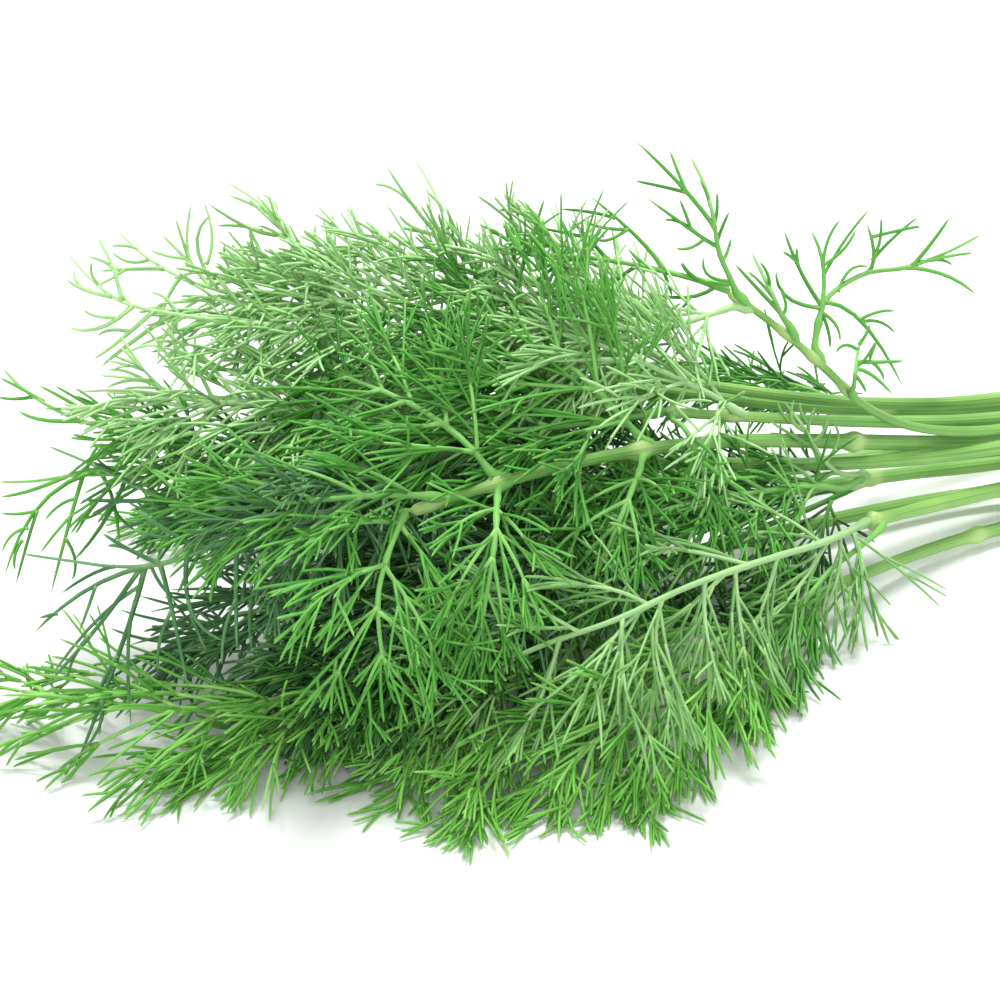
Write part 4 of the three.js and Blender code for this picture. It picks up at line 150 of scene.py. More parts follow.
        pinnae=[[0.069, 1, 15.3, 35, -11], [0.056, -1, 15.5, 38, 12], [0.274, 1, 18.5, 37, -6], [0.268, -1, 17.3, 43, 14], [0.445, 1, 18, 42, 4], [0.432, -1, 17.7, 42, 14], [0.617, 1, 15.2, 30, 12], [0.607, -1, 16.5, 35, 1], [0.782, 1, 11.8, 31, 17], [0.768, -1, 10.6, 31, 18], [0.945, 1, 5.9, 33, 24], [0.909, -1, 6.2, 21, 4]],
        threads=[]),
    "leaf_21": dict(stem="stem_03", at=0.9844, tint="light", rib=0.54, sag=0.27, face=[-0.131, -0.475, 0.87],
        path=[[-17.53, -7.6, 47.69], [-22.27, -8.16, 47.33], [-26.98, -8.55, 46.81], [-31.69, -8.43, 46.22], [-36.31, -7.58, 45.59], [-40.8, -6.19, 44.95]],
        pinnae=[[0.196, 1, 9.9, 53, -6], [0.191, -1, 10, 42, 0], [0.42, 1, 11.6, 13, 6], [0.375, -1, 12.9, 39, 17], [0.586, 1, 12.7, 41, 11], [0.593, -1, 12.2, 25, 3], [0.763, 1, 7, 9, 16], [0.753, -1, 9.2, 28, 0], [0.929, 1, 5, 16, 6], [0.923, -1, 4.6, 25, 9]],
        threads=[]),
    "leaf_22": dict(stem="stem_07", at=1, tint="fresh", rib=0.54, sag=0.37, face=[-0.218, -0.097, 0.971],
        path=[[-29.43, -36.42, 9.03], [-34.41, -40.73, 8.36], [-39.45, -44.88, 7.41], [-44.56, -48.74, 5.93], [-49.36, -52.67, 3.85], [-53.43, -57.2, 1.55]],
        pinnae=[[0.104, 1, 7.8, 33, -1], [0.083, -1, 7.2, 24, 14], [0.34, 1, 8.9, 34, 11], [0.308, -1, 9.2, 22, 3], [0.536, 1, 7.6, 30, 3], [0.505, -1, 7.8, 26, 21], [0.758, 1, 6.4, 31, 14], [0.718, -1, 5.7, 30, 1], [0.955, 1, 3.2, 14, 2], [0.935, -1, 3, 25, 19]],
        threads=[]),
    "leaf_23": dict(stem="stem_07", at=0.903, tint="fresh", rib=0.54, sag=0.34, face=[0.151, -0.47, 0.87],
        path=[[-15.35, -28.98, 5.73], [-18.46, -31.68, 5.37], [-21.98, -34.08, 5.23], [-25.21, -36.86, 4.16], [-28.34, -39.74, 2.7], [-31.48, -42.62, 1.15]],
        pinnae=[[0.171, 1, 7.8, 31, 13], [0.143, -1, 8.2, 33, 9], [0.452, 1, 7.5, 16, 16], [0.414, -1, 7.2, 32, 5], [0.674, 1, 5.3, 22, -2], [0.658, -1, 5.8, 17, -1], [0.949, 1, 2.9, 19, 1], [0.911, -1, 3.1, 26, 5]],
        threads=[]),
    "leaf_24": dict(stem="stem_07", at=0.9758, tint="fresh", rib=0.54, sag=0.42, face=[-0.004, -0.331, 0.944],
        path=[[-25.44, -34.19, 10.15], [-31.69, -38.43, 12.18], [-38.65, -42.79, 12.6], [-45.75, -47.11, 12.48], [-53.02, -50.63, 11.08], [-60.22, -52.63, 7.63], [-66.97, -54.23, 2.95]],
        pinnae=[[0.167, 1, 12.8, 48, 7], [0.152, -1, 10.7, 43, 0], [0.302, 1, 13.9, 37, 10], [0.278, -1, 14, 45, 0], [0.447, 1, 12.7, 42, -6], [0.405, -1, 12.8, 31, 4], [0.556, 1, 12.6, 33, -5], [0.567, -1, 13.4, 39, -4], [0.691, 1, 11.4, 37, -13], [0.692, -1, 10, 25, 16], [0.804, 1, 7.3, 30, 8], [0.79, -1, 8.1, 19, 4], [0.921, 1, 5, 27, -10], [0.919, -1, 5.2, 30, 9]],
        threads=[]),
    "leaf_25": dict(stem="stem_08", at=1, tint="blue", rib=0.54, sag=0.27, face=[0.015, -0.287, 0.958],
        path=[[-49.78, -1.89, 19], [-58.19, -5.38, 20.53], [-66.85, -8, 22.15], [-75.86, -8.67, 23.92], [-84.82, -7.43, 25.57], [-93.3, -4.13, 26.93], [-101.24, 0.34, 27.81], [-105.99, 8.05, 28.01], [-109.68, 16.49, 27.95], [-114.13, 24.58, 27.95]],
        pinnae=[[0.679, -109.04, 2.66, 28.5, -114.57, 2.36, 29.91], [0.707, -106.33, 6.59, 31.06, -109.76, 9.6, 33.84], [0.658, -103.15, 2.9, 32.22, -105.06, 5.04, 36.86], [0.617, -101.09, 1.57, 30.85, -104.01, 3.8, 33.24], [0.132, 1, 16, 37, -2], [0.109, -1, 16.1, 33, 10], [0.202, 1, 16.4, 34, 8], [0.182, -1, 16.3, 40, -8], [0.281, 1, 13.9, 32, 7], [0.278, -1, 16.1, 38, 13], [0.381, 1, 15.7, 35, 17], [0.342, -1, 15.4, 27, -11], [0.449, 1, 13.1, 31, 10], [0.405, -1, 13.8, 30, -6], [0.489, 1, 15.1, 17, 5], [0.495, -1, 12.7, 17, -7]],
        threads=[[-105.35, 7.01, 27.98, -108.48, 9.86, 29.91, -110.57, 11.86, 30.66], [-109.04, 2.66, 28.5, -111.41, 2.73, 27.8, -113.27, 2.47, 27.34], [-101.78, 1.32, 29.78, -102.99, 2.67, 31.01, -102.74, 3.35, 31.92], [-99.63, -0.57, 27.63, -105.41, 0.44, 25.79, -109.91, 1.37, 24.94]]),
    "leaf_26": dict(stem="stem_08", at=0.8788, tint="blue", rib=0.54, sag=0.23, face=[-0.113, 0.028, 0.993],
        path=[[-28.73, -2, 17.52], [-35.38, -9.65, 19.52], [-42.64, -16.9, 20.99], [-50.61, -23.37, 22.66], [-60.29, -26.04, 23.81], [-70.23, -23.49, 22.19], [-79.41, -19.35, 19.87], [-88.35, -14.91, 17.17], [-97.6, -11.37, 14.18], [-105.85, -8.01, 8.95]],
        pinnae=[[0.168, 1, 12.6, 47, -13], [0.15, -1, 12.6, 44, 5], [0.273, 1, 15.2, 48, -12], [0.262, -1, 14.3, 41, 3], [0.39, 1, 14.6, 47, -15], [0.366, -1, 12.7, 34, 65], [0.486, 1, 14.2, 38, 1], [0.455, -1, 12.5, 12, 16], [0.582, 1, 13.7, 35, -5], [0.538, -1, 13.8, 37, -4], [0.674, 1, 12.2, 36, 16], [0.669, -1, 12.1, 30, -5], [0.763, 1, 11.8, 28, -6], [0.752, -1, 10.6, 41, -1], [0.842, 1, 7.9, 33, -5], [0.816, -1, 6.7, 36, 17], [0.937, 1, 5.5, 26, -9], [0.912, -1, 5.8, 27, -6]],
        threads=[[-88.51, -14.85, 17.12, -95.98, -11.32, 18.49, -105.25, -7.88, 18.65], [-91.33, -13.77, 16.21, -98.15, -10.96, 17.13, -108.44, -8.2, 15.91], [-94.15, -12.69, 15.3, -101.96, -10.81, 13.78, -111.78, -8.74, 11.52], [-96.97, -11.61, 14.39, -103.99, -12.15, 10.84, -113.78, -10.44, 10.45], [-98.3, -11.08, 13.74, -102.61, -12.13, 8.86, -109.96, -11.31, 5.08], [-100.81, -10.06, 12.14, -105.46, -11.49, 7.48, -108.19, -14.7, 1.61], [-95.56, -12.15, 14.84, -97.81, -15.96, 9.92, -103.11, -20.25, 3.67], [-91.33, -13.77, 16.21, -93.5, -16.51, 10.91, -96.22, -20.38, 3.78], [-103.33, -9.04, 10.55, -108.49, -7.29, 10.8, -113.6, -4.9, 12.62], [-104.59, -8.53, 9.75, -110.55, -8.99, 8.9, -117.79, -10.92, 6.68], [-104.59, -8.53, 9.75, -108.35, -8.1, 4.54, -113.28, -8.9, 0.25], [-98.3, -11.08, 13.74, -102.66, -8.42, 15.1, -108.89, -4.77, 16.79], [-99.55, -10.57, 12.94, -105.37, -7.17, 13.04, -111.45, -2.71, 13.93], [-102.07, -9.55, 11.35, -106.19, -8.82, 6.97, -110.67, -7.78, 1.52], [-88.51, -14.85, 17.12, -91.16, -18.53, 11.51, -93.53, -22.89, 6.27], [-102.07, -9.55, 11.35, -104.09, -11.51, 5.5, -104.02, -13.42, 0.7]]),
    "leaf_27": dict(stem="stem_08", at=0.9818, tint="blue", rib=0.54, sag=0.39, face=[-0.049, -0.459, 0.887],
        path=[[-46.18, -3.37, 18.59], [-52.55, -8.26, 18.72], [-59.39, -12.53, 18.76], [-66.41, -16.39, 18.16], [-73.44, -19.81, 16.5], [-80.4, -22.42, 13.73], [-87.2, -23.65, 9.79], [-93.63, -24.48, 5.06]],
        pinnae=[[0.113, 1, 15, 47, 9], [0.126, -1, 16.3, 41, -15], [0.274, 1, 16.5, 42, -2], [0.229, -1, 14.8, 41, 26], [0.372, 1, 18.8, 39, 7], [0.375, -1, 16.9, 40, -14], [0.478, 1, 16.2, 34, -2], [0.483, -1, 18.1, 42, -9], [0.628, 1, 15.8, 26, 17], [0.587, -1, 14.6, 34, -5], [0.726, 1, 11.7, 23, 26], [0.718, -1, 13.9, 37, 4], [0.836, 1, 8.8, 37, 19], [0.799, -1, 8, 36, 9], [0.937, 1, 7, 34, -4], [0.921, -1, 6.8, 29, 7]],
        threads=[]),
    "leaf_28": dict(stem="stem_09", at=1, tint="light", rib=0.54, sag=0.32, face=[-0.285, -0.782, 0.554],
        path=[[-63.19, 13.27, 38.11], [-68.26, 16.72, 43.72], [-74.26, 15.72, 49.2], [-75.51, 21.53, 54.96], [-77.64, 28.81, 58.7], [-81.44, 36.12, 60.95]],
        pinnae=[[0.518, -79.75, 21.83, 53.16, -85.35, 24.64, 52.94], [0.666, -80.84, 24.62, 57.34, -87.35, 26.7, 61.98], [0.752, -79.19, 28.55, 59.42, -82.82, 30.63, 60.94], [0.432, -78.92, 18.89, 51.32, -84.54, 20.61, 50.9], [0.396, -71.73, 17.09, 52.47, -71.85, 19.2, 55.49], [0.076, 1, 14.3, 23, 5], [0.089, -1, 12.1, 39, -16], [0.17, 1, 11.7, 40, -5], [0.147, -1, 13.6, 26, -6], [0.274, 1, 10.6, 13, 18], [0.22, -1, 11.1, 24, 0], [0.338, 1, 11.1, 20, 1], [0.299, -1, 11.4, 20, 28], [0.389, 1, 11.5, 17, 6], [0.406, -1, 11.2, 13, 7]],
        threads=[[-77.06, 26.84, 57.68, -76.29, 27.92, 59.37, -77.79, 29.89, 60.62], [-78.88, 21.34, 53.06, -81.36, 22.81, 54.94, -83.53, 23.16, 55.63], [-79.58, 24.43, 57.02, -82.73, 25.39, 57.97, -86.14, 25.72, 58.38], [-75.25, 20.35, 53.79, -76.11, 24.39, 57.49, -77.42, 28.28, 59.25], [-75.46, 21.33, 54.76, -77.97, 23.5, 57.01, -80.18, 24.7, 57.85], [-82.07, 22.99, 53.07, -83.61, 24.08, 54.48, -84.33, 24.54, 55.69], [-74.93, 18.87, 52.32, -76.77, 20.62, 52.2, -80.4, 22.96, 50.88], [-71.77, 17.79, 53.47, -73.06, 19.42, 54.32, -73.73, 21.04, 55.07], [-78.1, 18.48, 51.1, -79.98, 20.27, 52.22, -81.44, 21.48, 52.29]]),
    "leaf_29": dict(stem="stem_09", at=0.9846, tint="light", rib=0.54, sag=0.37, face=[-0.155, -0.836, 0.527],
        path=[[-59.41, 13.96, 38.3], [-65.11, 18.25, 41.56], [-72.03, 18.3, 45.61], [-79.26, 16.47, 48.74], [-86.75, 15.89, 51.58], [-93.81, 18.58, 54.24], [-97.64, 25.26, 55.86], [-99.36, 33.12, 56.95]],
        pinnae=[[0.774, -100.2, 23.37, 54.72, -104.43, 24.95, 54.45], [0.635, -92.66, 20.52, 56.37, -95.15, 23.81, 59.25], [0.619, -90.86, 20.16, 58.27, -88.43, 20.52, 62.44], [0.719, -96.44, 17.73, 51.65, -98.49, 15.89, 48.5], [0.579, -91.14, 16.69, 49.46, -95.54, 18.76, 49.02], [0.495, -85.1, 18.61, 52.44, -88.04, 21.07, 54.79], [0.111, 1, 12.6, 34, -1], [0.128, -1, 12.4, 35, -1], [0.228, 1, 11.7, 22, 29], [0.198, -1, 12.6, 22, 2], [0.318, 1, 12.9, 11, -4], [0.281, -1, 12, 17, -6], [0.38, 1, 11.5, 25, 11], [0.359, -1, 10.9, 35, 5], [0.456, 1, 11.4, 12, 3], [0.449, -1, 11.9, 21, 6]],
        threads=[[-92.15, 19.89, 55.72, -92.49, 21.28, 58.09, -93.02, 23.4, 61.73], [-91.4, 18.96, 54.73, -92.13, 20.96, 58.16, -90.39, 23.25, 64.04], [-90.06, 18.63, 55.63, -88.67, 19.67, 59.68, -89.21, 21.57, 64.49], [-96.92, 24.01, 55.56, -99.6, 25.55, 54.86, -101.55, 28.13, 55.74], [-96.77, 17.43, 51.14, -98.94, 18.19, 50.14, -100.47, 19.23, 49.65], [-96.44, 17.73, 51.65, -95.79, 16.2, 49.65, -96.2, 14.75, 47.16], [-92.66, 20.52, 56.37, -94.9, 21.56, 56.64, -97.17, 22.9, 57.41], [-100.9, 23.63, 54.68, -102.85, 23.82, 53.55, -104.61, 24.13, 52.76], [-97.93, 26.59, 56.05, -99.28, 27.39, 56.62, -101.74, 28.28, 56.66], [-89.68, 16.45, 50.28, -91.53, 17.73, 50.68, -94.13, 19.15, 50.53], [-85.82, 19.22, 53.02, -86.67, 20.45, 55.45, -86.47, 20.79, 57.49]]),
    "leaf_30": dict(stem="stem_09", at=0.9026, tint="light", rib=0.54, sag=0.34, face=[0.216, -0.783, 0.583],
        path=[[-44.77, 9.23, 35.75], [-49.86, 8.24, 42.33], [-54.09, 7.88, 49.16], [-54.16, 13.06, 55.57], [-53.8, 20.01, 60.26], [-54.45, 27.55, 63.95]],
        pinnae=[[0.581, -57.67, 15.74, 59.22, -61.67, 20.3, 66.48], [0.62, -58.63, 15.79, 57.45, -60.75, 17.18, 59.62], [0.458, -58.07, 11.55, 53.76, -63.76, 12.62, 54.88], [0.394, -57.04, 10.22, 50.45, -62.45, 12.57, 50.38], [0.531, -55.66, 13.64, 57.33, -56.75, 14.83, 60.22], [0.108, 1, 12.1, 33, 11], [0.092, -1, 10.8, 35, 5], [0.201, 1, 10.3, 21, 9], [0.21, -1, 10, 29, -4], [0.295, 1, 9.2, 31, 1], [0.293, -1, 9, 27, -4]],
        threads=[[-58.33, 16.49, 60.41, -60.67, 19.39, 62.74, -63.06, 21.42, 62.98], [-57.4, 15.23, 57.06, -59.08, 16.28, 57.17, -60.53, 17.46, 57.42], [-53.93, 17.54, 58.59, -54, 17.89, 59.76, -55.81, 19.32, 61.88], [-58.07, 11.55, 53.76, -59.89, 12.91, 55.42, -59.94, 14.33, 58.69], [-56.48, 9.8, 50.17, -58.79, 11.78, 52.19, -60.83, 12.61, 52.5], [-55.66, 13.64, 57.33, -54.33, 12.97, 58.5, -54.71, 13.54, 61.34], [-54.12, 10.25, 52.09, -51.93, 11.08, 54.88, -51.79, 12.21, 56.65], [-54.1, 8.5, 49.92, -51.82, 8.18, 52.5, -51.5, 8.16, 55.01], [-59.48, 11.81, 54.04, -62.05, 13.4, 55.57, -63.56, 14.33, 57.03], [-58.38, 10.8, 50.43, -61.35, 11.34, 49.58, -64.25, 12.01, 49.14]]),
    "leaf_31": dict(stem="stem_09", at=0.8308, tint="light", rib=0.54, sag=0.28, face=[0.362, -0.318, 0.876],
        path=[[-31.59, 8.57, 32.52], [-37.31, 9, 37.92], [-44.2, 11.16, 41.58], [-50.57, 14.97, 45], [-57.95, 15.76, 48.38], [-63.66, 19.35, 52.3], [-70.46, 23.4, 53.95]],
        pinnae=[[0.784, -63.43, 20.11, 53.48, -65.66, 22.11, 55.79], [0.749, -64.94, 18.7, 50.73, -69.43, 19.34, 51.2], [0.677, -61.01, 18.59, 51.44, -61.99, 20.12, 53.73], [0.114, 1, 14.2, 31, -13], [0.099, -1, 13.8, 41, 11], [0.217, 1, 11.8, 38, 4], [0.236, -1, 13, 29, -9], [0.346, 1, 13.6, 35, -2], [0.303, -1, 11.8, 25, 3], [0.425, 1, 11.9, 24, 1], [0.397, -1, 11, 27, 11], [0.525, 1, 11.8, 27, -11], [0.487, -1, 11, 34, 12], [0.589, 1, 10.5, 25, -5], [0.596, -1, 11.3, 21, 9]],
        threads=[[-64.93, 20.1, 52.61, -67.46, 20.36, 52.73, -70.29, 20.34, 52.87], [-63.57, 19.29, 52.24, -66.01, 20.07, 51.65, -68.04, 21.05, 51.59], [-61.99, 20.12, 53.73, -63.47, 21.62, 55.48, -63.91, 22.13, 56.31], [-59.29, 16.93, 49.65, -59.74, 18.12, 52.07, -59.27, 18.45, 53.96]]),
    "leaf_32": dict(stem="stem_09", at=0.959, tint="light", rib=0.54, sag=0.35, face=[0.233, -0.395, 0.889],
        path=[[-55.33, 10.26, 37.51], [-61.39, 8.15, 41.56], [-68.46, 7.8, 44.58], [-75.8, 8.47, 46.9], [-83.18, 8.39, 49.13], [-90.57, 7.88, 51.32], [-97.98, 8.41, 53.38], [-104.93, 10.29, 55.69], [-107.65, 17.09, 57.04], [-108.86, 24.66, 57.95]],
        pinnae=[[0.806, -109.31, 13.53, 56.91, -111.54, 15.13, 58.31], [0.779, -105.35, 12.87, 60.36, -106.85, 14.94, 64.04], [0.752, -108.36, 10.13, 52.3, -112.59, 11.53, 52.58], [0.707, -106.02, 8.43, 50.76, -110.14, 7.55, 48.91], [0.672, -104.87, 8.64, 49.69, -108.86, 8.46, 47.2], [0.646, -99.62, 7.85, 50.68, -101.31, 6.13, 47.82], [0.586, -97.16, 8.75, 50.66, -102.87, 9.72, 48.89], [0.133, 1, 12.7, 38, -4], [0.115, -1, 14.1, 46, 21], [0.249, 1, 12.9, 26, -4], [0.225, -1, 12.9, 29, -2], [0.315, 1, 11.4, 23, -5], [0.306, -1, 13.4, 27, 2], [0.428, 1, 11.9, 29, 1], [0.42, -1, 12, 28, 7], [0.492, 1, 10.4, 22, -8], [0.474, -1, 11.8, 20, -6]],
        threads=[[-108.64, 13.26, 56.75, -109.9, 15.05, 57.31, -109.84, 17.21, 58.58], [-105.31, 12.64, 59.93, -106.3, 13.54, 60.7, -108.22, 14.83, 61.41], [-106.07, 10, 53.6, -108.72, 10.5, 54.06, -110.35, 10.57, 55.23], [-104.52, 8.61, 51.71, -107.18, 9.15, 52.2, -109.11, 8.5, 51.88], [-103.99, 10.03, 55.38, -104.7, 12.77, 57.38, -103.8, 15.57, 59.49], [-98.79, 7.98, 51.31, -98.68, 6.41, 48.8, -99.91, 5.24, 46.09], [-97.14, 8.23, 52.57, -98.3, 10.06, 54.96, -100.47, 11.49, 55.97], [-95.92, 8.55, 50.99, -98.77, 8.69, 48.62, -101.48, 9.71, 47.55], [-106.63, 14.56, 56.54, -107.7, 15.47, 58.16, -107.5, 15.77, 60.01]]),
    "leaf_33": dict(stem="stem_10", at=1, tint="mid", rib=0.54, sag=0.31, face=[0.086, -0.483, 0.871],
        path=[[-80.47, 9.73, 27.89], [-88.69, 9.33, 29.86], [-96.81, 9.33, 32.24], [-104.75, 10.05, 35.02], [-112.35, 12.28, 37.76], [-117.57, 18.2, 40.09], [-119.56, 26.32, 40.95]],
        pinnae=[[0.652, -116.73, 14.05, 37.58, -119.69, 15.95, 38.7], [0.558, -112.01, 13.61, 39.31, -116.71, 15.54, 42.49], [0.318, -99.98, 12.35, 35.25, -103.14, 15.23, 39.05], [0.437, -106.54, 10.72, 33.19, -110.73, 11.67, 33.38], [0.113, 1, 11.8, 27, -3], [0.112, -1, 12.3, 21, 16], [0.2, 1, 10.7, 21, 15], [0.175, -1, 11.4, 16, -12], [0.276, 1, 11.7, 17, 17], [0.244, -1, 10.6, 23, -6], [0.361, 1, 11.6, 11, 16], [0.339, -1, 11.4, 22, 8]],
        threads=[[-116.95, 17.5, 39.82, -119.7, 18.01, 39.69, -122.03, 18.47, 40.22], [-115.89, 16.29, 39.34, -118.78, 18.3, 41.15, -121.24, 19.78, 42.53], [-99.98, 12.35, 35.25, -102.44, 13.99, 36.58, -105.12, 15.07, 36.9], [-98.91, 11.52, 34.37, -99.41, 12.99, 36.8, -100.75, 14.26, 38.41], [-106.54, 10.72, 33.19, -108.64, 11.63, 31.53, -111.12, 13.32, 30.07]]),
    "leaf_34": dict(stem="stem_10", at=0.9857, tint="mid", rib=0.54, sag=0.6, face=[-0.21, -0.066, 0.975],
        path=[[-78.42, 6.39, 28.62], [-85.78, 4.83, 29.66], [-93.07, 6.2, 29.66], [-99.63, 9.93, 28.74], [-105.9, 14.13, 27.61], [-111.74, 18.55, 25.55], [-116.82, 23.63, 23.06], [-121.27, 29.45, 20.95]],
        pinnae=[[0.648, -117.84, 15.97, 23.02, -124.89, 10.77, 15.47], [0.686, -113.99, 14.1, 20.68, -118.92, 8.21, 12.53], [0.744, -117.89, 20.55, 23.27, -122.36, 21.61, 22.47], [0.637, -107.65, 12.9, 23.33, -108.17, 8.86, 18.3], [0.541, -109.39, 11.45, 21.07, -114.59, 10.79, 15.8], [0.126, 1, 11.3, 30, 1], [0.125, -1, 11.5, 21, -16], [0.211, 1, 11.8, 29, 5], [0.232, -1, 11.3, 24, 6], [0.327, 1, 10.4, 16, 4], [0.295, -1, 11.4, 6, -2], [0.424, 1, 10.1, 19, 6], [0.379, -1, 10.1, 18, -2]],
        threads=[[-118.4, 15.55, 22.41, -121.07, 16.5, 21.91, -123.32, 17.68, 21.94], [-118.4, 15.55, 22.41, -120.44, 14.03, 18.69, -123.24, 11.66, 13.14], [-113.68, 14.43, 21.16, -115.92, 13.94, 19.48, -119.05, 13, 16.76], [-110.25, 17.42, 26.08, -109.19, 17.61, 28.81, -107.76, 16.79, 30.89], [-112.44, 15.73, 23.08, -114.97, 15.58, 22.64, -117.6, 14.46, 21.23], [-115.21, 12.64, 18.66, -114.43, 10.84, 15.74, -115.31, 9.93, 13.03], [-107.65, 12.9, 23.33, -109.97, 11.79, 22.35, -112.96, 10.68, 22.19], [-120.17, 14.25, 20.52, -122.6, 14.62, 19.67, -124.41, 13.95, 17.55], [-121.35, 13.38, 19.26, -122.84, 12.45, 17.5, -123.34, 10.93, 15.89], [-108.08, 11.94, 22.92, -107.05, 10.65, 21, -105.49, 9.54, 19.57]]),
    "leaf_35": dict(stem="stem_10", at=0.9405, tint="light", rib=0.54, sag=0.37, face=[0.131, -0.616, 0.777],
        path=[[-70.16, 1.73, 30.37], [-76.48, 1.61, 35.04], [-83.23, 1.66, 38.97], [-90.8, 2.41, 40.94], [-98.46, 2.61, 41.9], [-102.45, 8.04, 44.94], [-104.06, 15.45, 46.95]],
        pinnae=[[0.642, -101.86, 4.35, 42.13, -105.6, 6.3, 43.66], [0.628, -99.23, 4.81, 47.25, -103.43, 6.58, 53.88], [0.575, -96.25, 5.1, 46.6, -98.94, 6.58, 51.11], [0.734, -103.92, 6.83, 44.85, -108.73, 7.53, 44.15], [0.499, -93.23, 5.55, 45.08, -95.34, 7.93, 47.88], [0.131, 1, 14.4, 32, 4], [0.093, -1, 13, 28, -2], [0.252, 1, 12.7, 30, 5], [0.214, -1, 14.4, 30, 5], [0.357, 1, 12.8, 28, 8], [0.348, -1, 12, 29, 7], [0.453, 1, 11.9, 15, -7], [0.447, -1, 11.9, 22, -19], [0.54, 1, 12.7, 15, 10], [0.562, -1, 13, 22, 0]],
        threads=[[-100.62, 5.39, 49.45, -102.19, 6.64, 50.09, -105.18, 7.65, 49.09], [-98.08, 3.79, 44.72, -98.41, 5.78, 49.02, -99.4, 6.88, 51.83], [-102.52, 6.09, 44.22, -105.26, 8.1, 45.78, -107.84, 9.29, 46.03], [-103.72, 5.32, 42.89, -105.13, 5.71, 42.11, -106.82, 6.57, 41.71], [-95.7, 4.39, 45.17, -95.98, 5.77, 47.82, -95.42, 6.68, 50.46], [-102.91, 10.18, 45.52, -104.78, 11.41, 46.14, -106.31, 12.61, 46.83]]),
    "leaf_36": dict(stem="stem_10", at=0.8929, tint="blue", rib=0.54, sag=0.38, face=[-0.241, -0.754, 0.611],
        path=[[-61.48, -3.78, 29.66], [-68.63, -9.53, 32.07], [-74.57, -16.81, 34.66], [-82.2, -22.43, 35.8], [-91.54, -23.58, 34.03], [-100.08, -19.93, 31.43], [-108.11, -15.9, 27.75], [-112.96, -8.36, 24.35], [-117.41, -0.05, 21.85], [-122.68, 7.96, 19.95]],
        pinnae=[[0.671, -112.12, -14.2, 29.81, -115.56, -13.01, 32.57], [0.691, -117.72, -12.58, 24.15, -125.93, -12.93, 19.12], [0.713, -118.17, -15.68, 19.22, -126.44, -19.07, 14.03], [0.705, -114.79, -16.69, 16.62, -124.46, -22.27, 0.64], [0.672, -108.03, -19.19, 22.09, -108.14, -25.66, 13.25], [0.537, -100.32, -24.43, 25.61, -101.84, -28.96, 20.06], [0.534, -97.01, -24.1, 27.08, -94.6, -27.24, 23.2], [0.586, -105.79, -17.27, 31.95, -111.45, -14.25, 36.24], [0.621, -106, -20.36, 23.87, -105.04, -24.72, 18.09], [0.483, -95.16, -25.97, 27.67, -96.32, -30.94, 21.18], [0.159, 1, 16.1, 42, 9], [0.148, -1, 13.4, 45, 4], [0.25, 1, 13.5, 35, -2], [0.207, -1, 15.1, 33, -13], [0.317, 1, 14.5, 24, -7], [0.308, -1, 13.1, 32, 11], [0.392, 1, 11.9, 29, -13], [0.387, -1, 13.3, 29, 1]],
        threads=[[-116.95, -12.74, 24.41, -118.54, -14.04, 21.92, -120.22, -15.5, 19.58], [-111.15, -14.22, 23.86, -117.81, -14.46, 19.76, -125.06, -16.11, 13.3], [-112.06, -14.84, 22.05, -114.49, -18.8, 16.92, -116.4, -25.5, 9.13], [-113.04, -8.22, 24.31, -116.18, -6.28, 22.57, -119.9, -4.15, 19.33], [-105.47, -17.41, 31.81, -108.21, -15.82, 31.86, -110.35, -14, 32.32], [-112.12, -14.2, 29.81, -113.57, -13.4, 30.33, -114.86, -12.98, 30.38], [-115.56, -17.14, 15.34, -118.55, -17.55, 10.67, -120.31, -18.46, 5.07], [-108.03, -19.19, 22.09, -110.15, -19.81, 18.11, -110.98, -20.79, 13.7], [-100.44, -24.79, 25.16, -102.75, -26.67, 21.83, -104.19, -29.44, 18.33], [-97.01, -24.1, 27.08, -98.65, -25.15, 23.26, -99.22, -27.14, 18.13], [-106, -20.36, 23.87, -105.21, -22.96, 21.14, -102.98, -25.7, 19.77], [-122.5, -12.79, 21.22, -123.61, -12.69, 21.18, -125.02, -12.7, 21.02], [-118.83, -15.95, 18.81, -121.45, -16.68, 16.5, -123.4, -18.43, 13.28], [-118.8, -19.01, 9.99, -119.68, -20.92, 7.2, -122.78, -22.29, 4.35], [-95.25, -26.37, 27.15, -94.04, -28.68, 24.17, -94.03, -30.88, 20.64], [-109.35, -13.98, 26.89, -107.94, -15.63, 23.35, -105.45, -16.52, 21.05]]),
    "leaf_37": dict(stem="stem_11", at=1, tint="fresh", rib=0.54, sag=0.45, face=[-0.033, -0.323, 0.946],
        path=[[-69.74, -16.07, 5.92], [-76.39, -19.69, 6.67], [-83.13, -23.09, 7.35], [-90.17, -25.51, 7.92], [-97.61, -26, 8.49], [-104.91, -24.97, 8.8], [-111.67, -22.07, 8.85], [-117.76, -17.8, 8.51], [-123.2, -12.63, 7.81], [-128.36, -7.13, 6.95]],
        pinnae=[[0.092, 1, 13.3, 26, -4], [0.057, -1, 15.6, 30, 9], [0.209, 1, 17.1, 28, 29], [0.204, -1, 14.3, 36, 5], [0.306, 1, 18.1, 23, 0], [0.31, -1, 17.6, 12, 5], [0.422, 1, 17.6, 23, -3], [0.421, -1, 16.2, 31, 7], [0.528, 1, 16, 40, 5], [0.509, -1, 15.2, 23, 10], [0.621, 1, 13.4, 22, -6], [0.627, -1, 15.1, 29, 13], [0.723, 1, 10.8, 19, -2], [0.716, -1, 11.7, 24, 20], [0.841, 1, 7.7, 22, 11], [0.804, -1, 8.4, 18, -17], [0.924, 1, 6.5, 18, 2], [0.912, -1, 6.6, 20, 13]],
        threads=[]),
    "leaf_38": dict(stem="stem_11", at=0.9872, tint="fresh", rib=0.54, sag=0.27, face=[-0.095, -0.101, 0.99],
